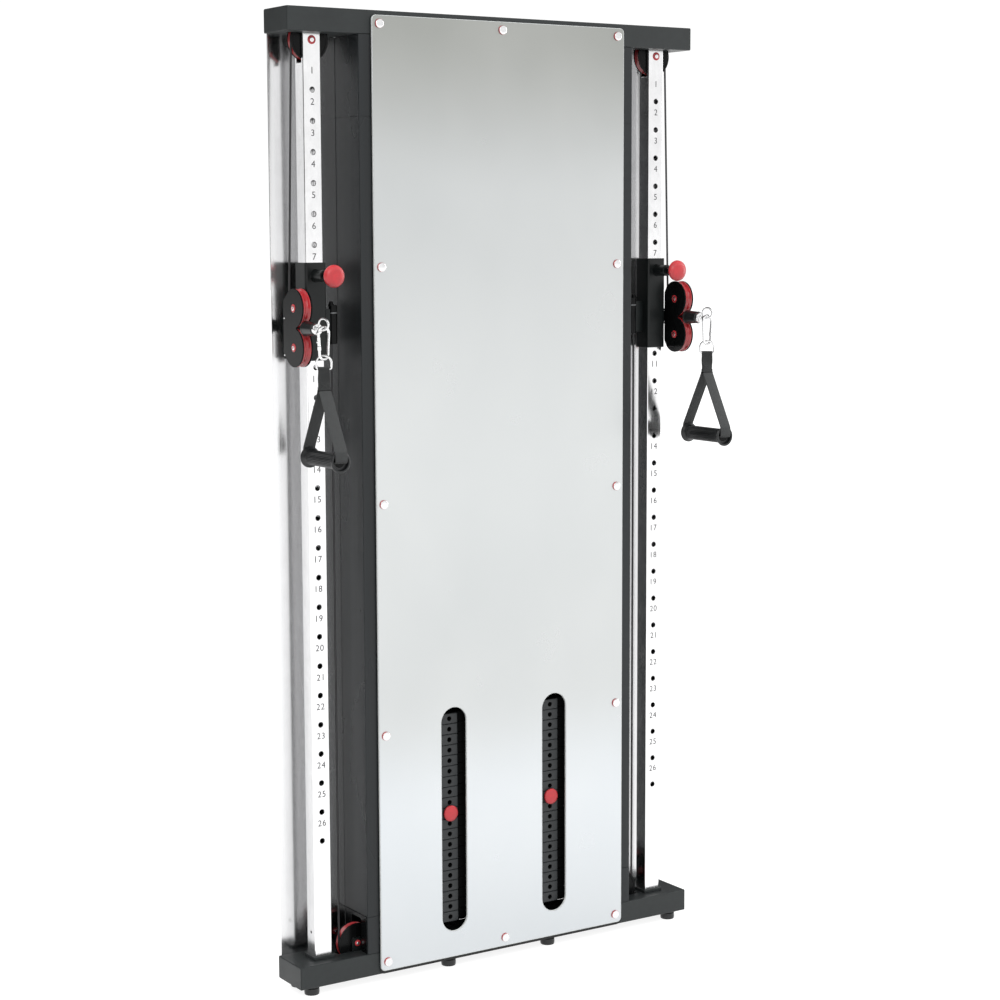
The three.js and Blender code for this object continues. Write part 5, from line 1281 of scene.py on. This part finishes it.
def make_hook(side):
    """A snap hook: a pear shape, round at the top and narrower below, with its gate on one arm."""
    top, wide = HOOK_HIGH - 15.8, 12.8
    low, narrow = HOOK_LOW + 13.2, 10.2
    points = arc(0, top, wide, -4, 184, 24) + arc(0, low, narrow, 184, 356, 24)
    hook = wire(bmesh.new(), [(BLOCK_X + a, HANDLE_Y, b) for a, b in points], HOOK_WIRE, 20, closed=True)
    lean = Vector((wide - narrow, 0, top - low)).normalized()
    arm = Vector((BLOCK_X + (wide + narrow) / 2, HANDLE_Y, (top + low) / 2))
    lathe(hook, [(0, -14), (4.1, -14), (4.1, -6), (3.5, -5.4), (3.5, 14), (0, 14)], arm, lean, 24, 0.5, 3)
    lathe(hook, [(0, 0), (1.8, 0), (2.2, 3), (0, 3.8)], arm + Vector((2.6, 0, 4)), RIGHT, 20, 0.5, 3)
    piece("snap_hook_body", hook, "fitting", "handle", ("snap_hook",), side)


def make_ring(side):
    """The D-ring: a round bow on a straight bar, turned about the vertical."""
    half, rise, inner = 17.2, 15.5, 12.8
    bow = RING_HIGH - RING_WIRE - rise
    low = RING_LOW + RING_WIRE
    corners = [(a * half, bow + b * rise) for a, b in arc(0, 0, 1, -6, 186, 28)]
    corners += arc(-inner, low + 4, 4, 186, 270, 5)
    corners += arc(inner, low + 4, 4, 270, 354, 5)
    turn = Matrix.Rotation(RING_TURN, 3, "Z")
    middle = Vector((SIGNS[side] * BLOCK_X, HANDLE_Y, 0))
    path = [middle + turn @ Vector((a, 0, b)) for a, b in corners]
    ring = wire(bmesh.new(), path, RING_WIRE, 16, closed=True)
    piece("d_ring", ring, "fitting", "handle", side=side, mirror=False)


def stitches(bm, centre, width, height, count=7):
    """A sewn box with a cross: short raised stitches on a face of the webbing."""
    a, b = width / 2, height / 2
    corners = [(-a, -b), (a, -b), (a, b), (-a, b)]
    lines = [(corners[i], corners[(i + 1) % 4]) for i in range(4)]
    lines += [(corners[0], corners[2]), (corners[1], corners[3])]
    for (a0, b0), (a1, b1) in lines:
        for i in range(count):
            first, last = [Vector(centre) + Vector((a0 + (a1 - a0) * share, 0, b0 + (b1 - b0) * share))
                           for share in ((i + 0.15) / count, (i + 0.8) / count)]
            wire(bm, [first, (first + last) / 2, last], [0.18, 0.42, 0.18], 6)


def make_strap(side):
    """The webbing: a folded neck round the ring's bar, and two legs into the grip's ends."""
    thickness = detail("strap_thickness")
    centre_x = SIGNS[side] * BLOCK_X
    steps = 14
    points, widths, turns = [], [], []
    for i in range(steps + 1):
        share = i / steps
        points.append((centre_x, HANDLE_Y, NECK_HIGH + (NECK_LOW - NECK_HIGH) * share))
        swing = min(1.0, max(0.0, (share - 0.1) / 0.6))
        swing = swing * swing * (3 - 2 * swing)
        turns.append(RING_TURN * (1 - swing))
        widths.append(STRAP_WIDTH - 3.4 + 2.6 * swing)
    webbing = band(bmesh.new(), points, widths, NECK_THICKNESS, turns)
    across = Matrix.Rotation(RING_TURN, 3, "Z") @ Vector(RIGHT)
    bar = Vector((centre_x, HANDLE_Y, RING_LOW + RING_WIRE))
    wire(webbing, [bar + across * a for a in (-12.9, 0, 12.9)], 4.6, 20)
    far = GRIP_HALF + 1.7
    knee = GRIP_Z + 21
    inside = GRIP_Z - 1.5
    for way in (1, -1):
        corners = [(2.4, NECK_LOW + 9), (2.4, NECK_LOW + 2, 3), (far, knee, 6), (far, inside, 7),
                   (GRIP_HALF - 8, inside)]
        route = [(centre_x, HANDLE_Y + way * a, b) for a, b in eased(corners, 0, False, 8)]
        band(webbing, route, [STRAP_WIDTH] * len(route), thickness, seam=0.12)
    strap = piece("webbing", webbing, "webbing", "handle", ("strap",), side, mirror=False, weighted=False)
    # The neck's faces get the darker webbing: painted shade.
    second_finish(strap, "neck", 2, NECK_LOW + 0.5)
    half = STRAP_WIDTH / 2 + 0.4
    # The hem block is painted near black: a painted shadow under the folded neck.
    hem = block(bmesh.new(), (-half, HANDLE_Y - 5, NECK_LOW - 0.6),
                (half, HANDLE_Y + 5, NECK_LOW + 2.2), 1, 0.3)
    bmesh.ops.translate(hem, verts=hem.verts, vec=(centre_x, 0, 0))
    piece("neck_hem", hem, "hem", "handle", side=side, mirror=False, weighted=False)
    sewing = bmesh.new()
    leg_face = far + thickness / 2 - 0.15
    for way in (1, -1):
        stitches(sewing, (centre_x, HANDLE_Y + way * 4.45, NECK_LOW + 12), SEWN_WIDTH, 14)
        stitches(sewing, (centre_x, HANDLE_Y + way * leg_face, GRIP_Z + 14), SEWN_WIDTH, 12)
    piece("sewing", sewing, "thread", "handle", side=side, mirror=False, weighted=False)


def make_grip(side):
    """A fluted sleeve with flared, recessed ends, turning on a core."""
    flutes = bpy.context.scene.station_details.grip_flutes
    centre = (BLOCK_X, HANDLE_Y, GRIP_Z)

    def fluted(radius, distance, angle):
        inside = min(1.0, max(0.0, (GRIP_HALF - 13 - abs(distance)) / 3))
        wave = 0.5 + 0.5 * math.cos(flutes * angle)
        return radius - 1.3 * inside * wave * wave if radius == GRIP_RADIUS else radius

    end = [(12.6, -65.5), (17.2, -65.5), (18.2, -71.8), (19.4, -73.3), (22.6, -73.5), (24, -72.2),
           (24, -69.6), (22.6, -67.8), (19.4, -65.6), (GRIP_RADIUS, -61.5)]
    profile = end + [(GRIP_RADIUS, d) for d in (-60, -57, -40, -20, 0, 20, 40, 57, 60)]
    profile += [(radius, -distance) for radius, distance in reversed(end)]
    sleeve = turned(bmesh.new(), profile, centre, BACK, flutes * 6, closed=True, flutes=fluted)
    piece("grip_sleeve", sleeve, "rubber", "grip", ("grip",), side)
    core = lathe(bmesh.new(), [(0, -66.5), (12, -66.5), (12, 66.5), (0, 66.5)], centre, BACK, 40, 0.4)
    piece("grip_core", core, "gloss", "handle", side=side)


def make_handle(side):
    make_hook(side)
    make_ring(side)
    make_strap(side)
    make_grip(side)


# Cables. A fall that changes its length is a straight tube from end to end, left on no body.


def turn_points(x, z, radius, start, end, steps=18):
    """Points of a turn round a pulley in the XZ plane, its angles in degrees."""
    return [(a, CABLE_Y, b) for a, b in arc(x, z, radius, start, end, steps)]


def fall(side, name, nodes, fixed_end, moving_end):
    """A straight stretch of cable from its end on the cabinet to its end on a moving body."""
    tube = wire(bmesh.new(), [fixed_end, moving_end], CABLE_RADIUS, 20)
    made = piece(name, tube, "cable", None, nodes, side, weighted=False)
    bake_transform(made)


def make_cables(side):
    outer_x = UPRIGHT_X + PITCH_RADIUS
    fall(side, "outer_cable", ("cable_outer_fall",), (outer_x, CABLE_Y, CABLE_END_Z + 0.2),
         (BLOCK_X, CABLE_Y, BLOCK_Z + AXLE_RISE + 3))
    fall(side, "inner_cable", ("cable_inner_fall",),
         (INNER_CABLE_X, CABLE_Y, BOTTOM_PULLEY[1] + 2.8), (INNER_CABLE_X, CABLE_Y, ANCHOR_LOW + 0.5))
    path = [(outer_x, CABLE_Y, CABLE_END_Z)] + turn_points(UPRIGHT_X, TOP_PULLEY_Z, PITCH_RADIUS, 0, 90)
    path += turn_points(HEADER_OUTER_X, TOP_PULLEY_Z, PITCH_RADIUS, 90, 180)
    path.append((STACK_X + PITCH_RADIUS, CABLE_Y, CABLE_END_Z))
    header = wire(bmesh.new(), path, CABLE_RADIUS, 16)
    piece("header_cable", header, "cable", nodes=("cable_header",), side=side)
    for name, x, nodes in (("outer", STACK_X + PITCH_RADIUS, ("cable_stack_loop",)),
                           ("inner", STACK_X - PITCH_RADIUS, ())):
        fall(side, f"stack_cable_{name}", nodes, (x, CABLE_Y, CABLE_END_Z + 0.2),
             (x, CABLE_Y, STACK_PULLEY_Z))
    bend = turn_points(STACK_X, STACK_PULLEY_Z, PITCH_RADIUS, 0, -180, 36)
    piece("stack_bend", wire(bmesh.new(), bend, CABLE_RADIUS, 16), "cable", "stack", side=side)
    path = [(STACK_X - PITCH_RADIUS, CABLE_Y, CABLE_END_Z)]
    path += turn_points(HEADER_INNER_X, TOP_PULLEY_Z, PITCH_RADIUS, 0, 180, 32)
    path += turn_points(*TAIL_PULLEY, TAIL_PITCH, 180, 270)
    path += turn_points(*BOTTOM_PULLEY, PITCH_RADIUS, 270, 360)
    path.append((INNER_CABLE_X, CABLE_Y, BOTTOM_PULLEY[1] + 3))
    back = wire(bmesh.new(), path, CABLE_RADIUS, 16)
    piece("return_cable", back, "cable", nodes=("cable_return",), side=side)


# Studio: floor, light and camera.


def studio_light(name, place, aim, size, power):
    data = bpy.data.lights.new(name, "AREA")
    data.shape = "RECTANGLE"
    data.size, data.size_y = size
    data.energy = power
    obj = bpy.data.objects.new(name, data)
    obj.location = place
    obj.rotation_euler = (Vector(aim) - Vector(place)).to_track_quat("-Z", "Y").to_euler()
    bpy.context.scene.collection.objects.link(obj)


def make_world():
    """White to the eye; in polished faces bright in front and dark elsewhere; as soft light
    stronger from above."""
    world = bpy.data.worlds.new("studio")
    bpy.context.scene.world = world
    world.use_nodes = True
    tree = world.node_tree
    seen = tree.nodes["Background"]
    connect(tree, seen, {"Color": (1, 1, 1, 1), "Strength": 1.05})
    place = add_node(tree, "ShaderNodeTexCoord")
    parts = add_node(tree, "ShaderNodeSeparateXYZ", {"Vector": place.outputs["Generated"]}).outputs
    front = ranged(tree, parts["Y"], 1, 0, -0.9, 0.5)
    tone = blended(tree, front, (0.62, 0.62, 0.63), (1.04, 1.04, 1.04))
    tone = blended(tree, ranged(tree, parts["Z"], 0, 1, 0.1, 0.8), tone, (1, 1, 1))
    for axis, start, end in (("Y", 0.45, 0.8), ("X", -0.6, -0.85), ("Z", 0.6, 0.9)):
        tone = blended(tree, ranged(tree, parts[axis], 0, 1, start, end), tone, (0.08, 0.08, 0.08))
    lit = add_node(tree, "ShaderNodeBackground", {"Color": tone, "Strength": 1})
    high = ranged(tree, parts["Z"], 0, 1, 0, 0.7)
    fill = add_node(tree, "ShaderNodeBackground", {
        "Color": blended(tree, high, (0.48, 0.48, 0.49), (1.8, 1.8, 1.8)), "Strength": 1})
    ray = add_node(tree, "ShaderNodeLightPath").outputs
    last = lit
    for kind, background in (("Is Diffuse Ray", fill), ("Is Camera Ray", seen)):
        last = add_node(tree, "ShaderNodeMixShader", {
            0: ray[kind], 1: last.outputs[0], 2: background.outputs[0]})
    connect(tree, tree.nodes["World Output"], {"Surface": last.outputs[0]})


def make_camera(lens):
    """A camera at the photograph's place, its aim worked out from yaw, pitch and roll."""
    yaw = 0.574313611
    pitch = 0.122104465
    roll = -0.00344638116
    ahead = Vector((math.sin(yaw) * math.cos(pitch), math.cos(yaw) * math.cos(pitch), -math.sin(pitch)))
    level = Vector((math.cos(yaw), -math.sin(yaw), 0))
    upward = level.cross(ahead)
    right = level * math.cos(roll) + upward * math.sin(roll)
    up = upward * math.cos(roll) - level * math.sin(roll)
    data = bpy.data.cameras.new("photo camera")
    data.lens = lens
    data.sensor_width = 36.0
    data.clip_end = 300.0
    camera = bpy.data.objects.new("photo camera", data)
    camera.matrix_world = Matrix.Translation((-2.86167, -4.37813, 1.77414)) @ Matrix(
        (right, up, -ahead)).transposed().to_4x4()
    bpy.context.scene.collection.objects.link(camera)
    bpy.context.scene.camera = camera


def make_studio():
    settings = bpy.context.scene.station_studio
    bpy.context.scene.view_settings.view_transform = "Standard"
    make_world()
    floor = bmesh.new()
    bmesh.ops.create_circle(floor, cap_ends=True, segments=96, radius=settings.floor_size)
    mesh = bpy.data.meshes.new("studio_floor")
    floor.to_mesh(mesh)
    floor.free()
    mesh.materials.append(material_of("floor"))
    ground = bpy.data.objects.new("studio_floor", mesh)
    bpy.context.scene.collection.objects.link(ground)
    studio_light("key light", (-2.6, -4.2, 4.2), (0, 0, 1.2), (3, 3), settings.key_power)
    studio_light("side light", (4.4, -1.5, 2.4), (0.2, 0.1, 1.1), (1.2, 3), settings.rim_power)
    make_camera(settings.lens)


class STATION_OT_beams(bpy.types.Operator):
    """Build the two beams with their feet, plinths and pulley brackets"""

    bl_idname = "station.beams"
    bl_label = "Beams and feet"

    def execute(self, context):
        make_beams()
        return {"FINISHED"}


class STATION_OT_mirror(bpy.types.Operator):
    """Build the mirror, its board and the cap screws"""

    bl_idname = "station.mirror"
    bl_label = "Mirror"

    def execute(self, context):
        make_mirror()
        return {"FINISHED"}


class STATION_OT_uprights(bpy.types.Operator):
    """Build the drilled uprights and their numbers"""

    bl_idname = "station.uprights"
    bl_label = "Uprights and numbers"

    def execute(self, context):
        for side in SIGNS:
            make_upright(side)
        return {"FINISHED"}


class STATION_OT_casings(bpy.types.Operator):
    """Build the rear plates, casing sides and back panel"""

    bl_idname = "station.casings"
    bl_label = "Casings"

    def execute(self, context):
        for side in SIGNS:
            make_casing(side)
        make_back_panel()
        return {"FINISHED"}


class STATION_OT_pulleys(bpy.types.Operator):
    """Build the pulleys of the cabinet and the stacks"""

    bl_idname = "station.pulleys"
    bl_label = "Pulleys"

    def execute(self, context):
        for side in SIGNS:
            make_pulleys(side)
        return {"FINISHED"}


class STATION_OT_stacks(bpy.types.Operator):
    """Build the weight plates, guide rods and selector pins"""

    bl_idname = "station.stacks"
    bl_label = "Weight stacks"

    def execute(self, context):
        for side in SIGNS:
            make_stack(side)
        return {"FINISHED"}


class STATION_OT_carriages(bpy.types.Operator):
    """Build the sliding carriages and their pull pins"""

    bl_idname = "station.carriages"
    bl_label = "Carriages"

    def execute(self, context):
        for side in SIGNS:
            make_carriage(side)
        return {"FINISHED"}


class STATION_OT_blocks(bpy.types.Operator):
    """Build the swivelling pulley blocks and the cable ends"""

    bl_idname = "station.blocks"
    bl_label = "Pulley blocks"

    def execute(self, context):
        for side in SIGNS:
            make_block(side)
        return {"FINISHED"}


class STATION_OT_handles(bpy.types.Operator):
    """Build the hooks, rings, webbing and grips"""

    bl_idname = "station.handles"
    bl_label = "Handles"

    def execute(self, context):
        for side in SIGNS:
            make_handle(side)
        return {"FINISHED"}


class STATION_OT_cables(bpy.types.Operator):
    """Build the cable runs"""

    bl_idname = "station.cables"
    bl_label = "Cables"

    def execute(self, context):
        for side in SIGNS:
            make_cables(side)
        return {"FINISHED"}


class STATION_OT_studio(bpy.types.Operator):
    """Build the floor, lights, world and camera"""

    bl_idname = "station.studio"
    bl_label = "Studio"

    def execute(self, context):
        make_studio()
        return {"FINISHED"}


BUILD_STEPS = (
    STATION_OT_beams, STATION_OT_mirror, STATION_OT_uprights, STATION_OT_casings, STATION_OT_pulleys,
    STATION_OT_stacks, STATION_OT_carriages, STATION_OT_blocks, STATION_OT_handles, STATION_OT_cables,
    STATION_OT_studio,
)


class STATION_PT_panel(bpy.types.Panel):
    """Lists the settings and the build steps"""

    bl_idname = "STATION_PT_panel"
    bl_label = "Pulley station"
    bl_space_type = "VIEW_3D"
    bl_region_type = "UI"
    bl_category = "Pulley station"

    def draw(self, context):
        for group in (context.scene.station_finishes, context.scene.station_details,
                      context.scene.station_studio):
            box = self.layout.box()
            for name in group.__annotations__:
                box.prop(group, name)
        for step in BUILD_STEPS:
            self.layout.operator(step.bl_idname)


CLASSES = (FinishSettings, DetailSettings, StudioSettings, *BUILD_STEPS, STATION_PT_panel)


def register():
    for cls in CLASSES:
        bpy.utils.register_class(cls)
    bpy.types.Scene.station_finishes = PointerProperty(type=FinishSettings)
    bpy.types.Scene.station_details = PointerProperty(type=DetailSettings)
    bpy.types.Scene.station_studio = PointerProperty(type=StudioSettings)


def unregister():
    del bpy.types.Scene.station_studio
    del bpy.types.Scene.station_details
    del bpy.types.Scene.station_finishes
    for cls in reversed(CLASSES):
        bpy.utils.unregister_class(cls)


def main():
    register()
    for step in BUILD_STEPS:
        group, name = step.bl_idname.split(".")
        getattr(getattr(bpy.ops, group), name)()


if __name__ == "__main__":
    main()
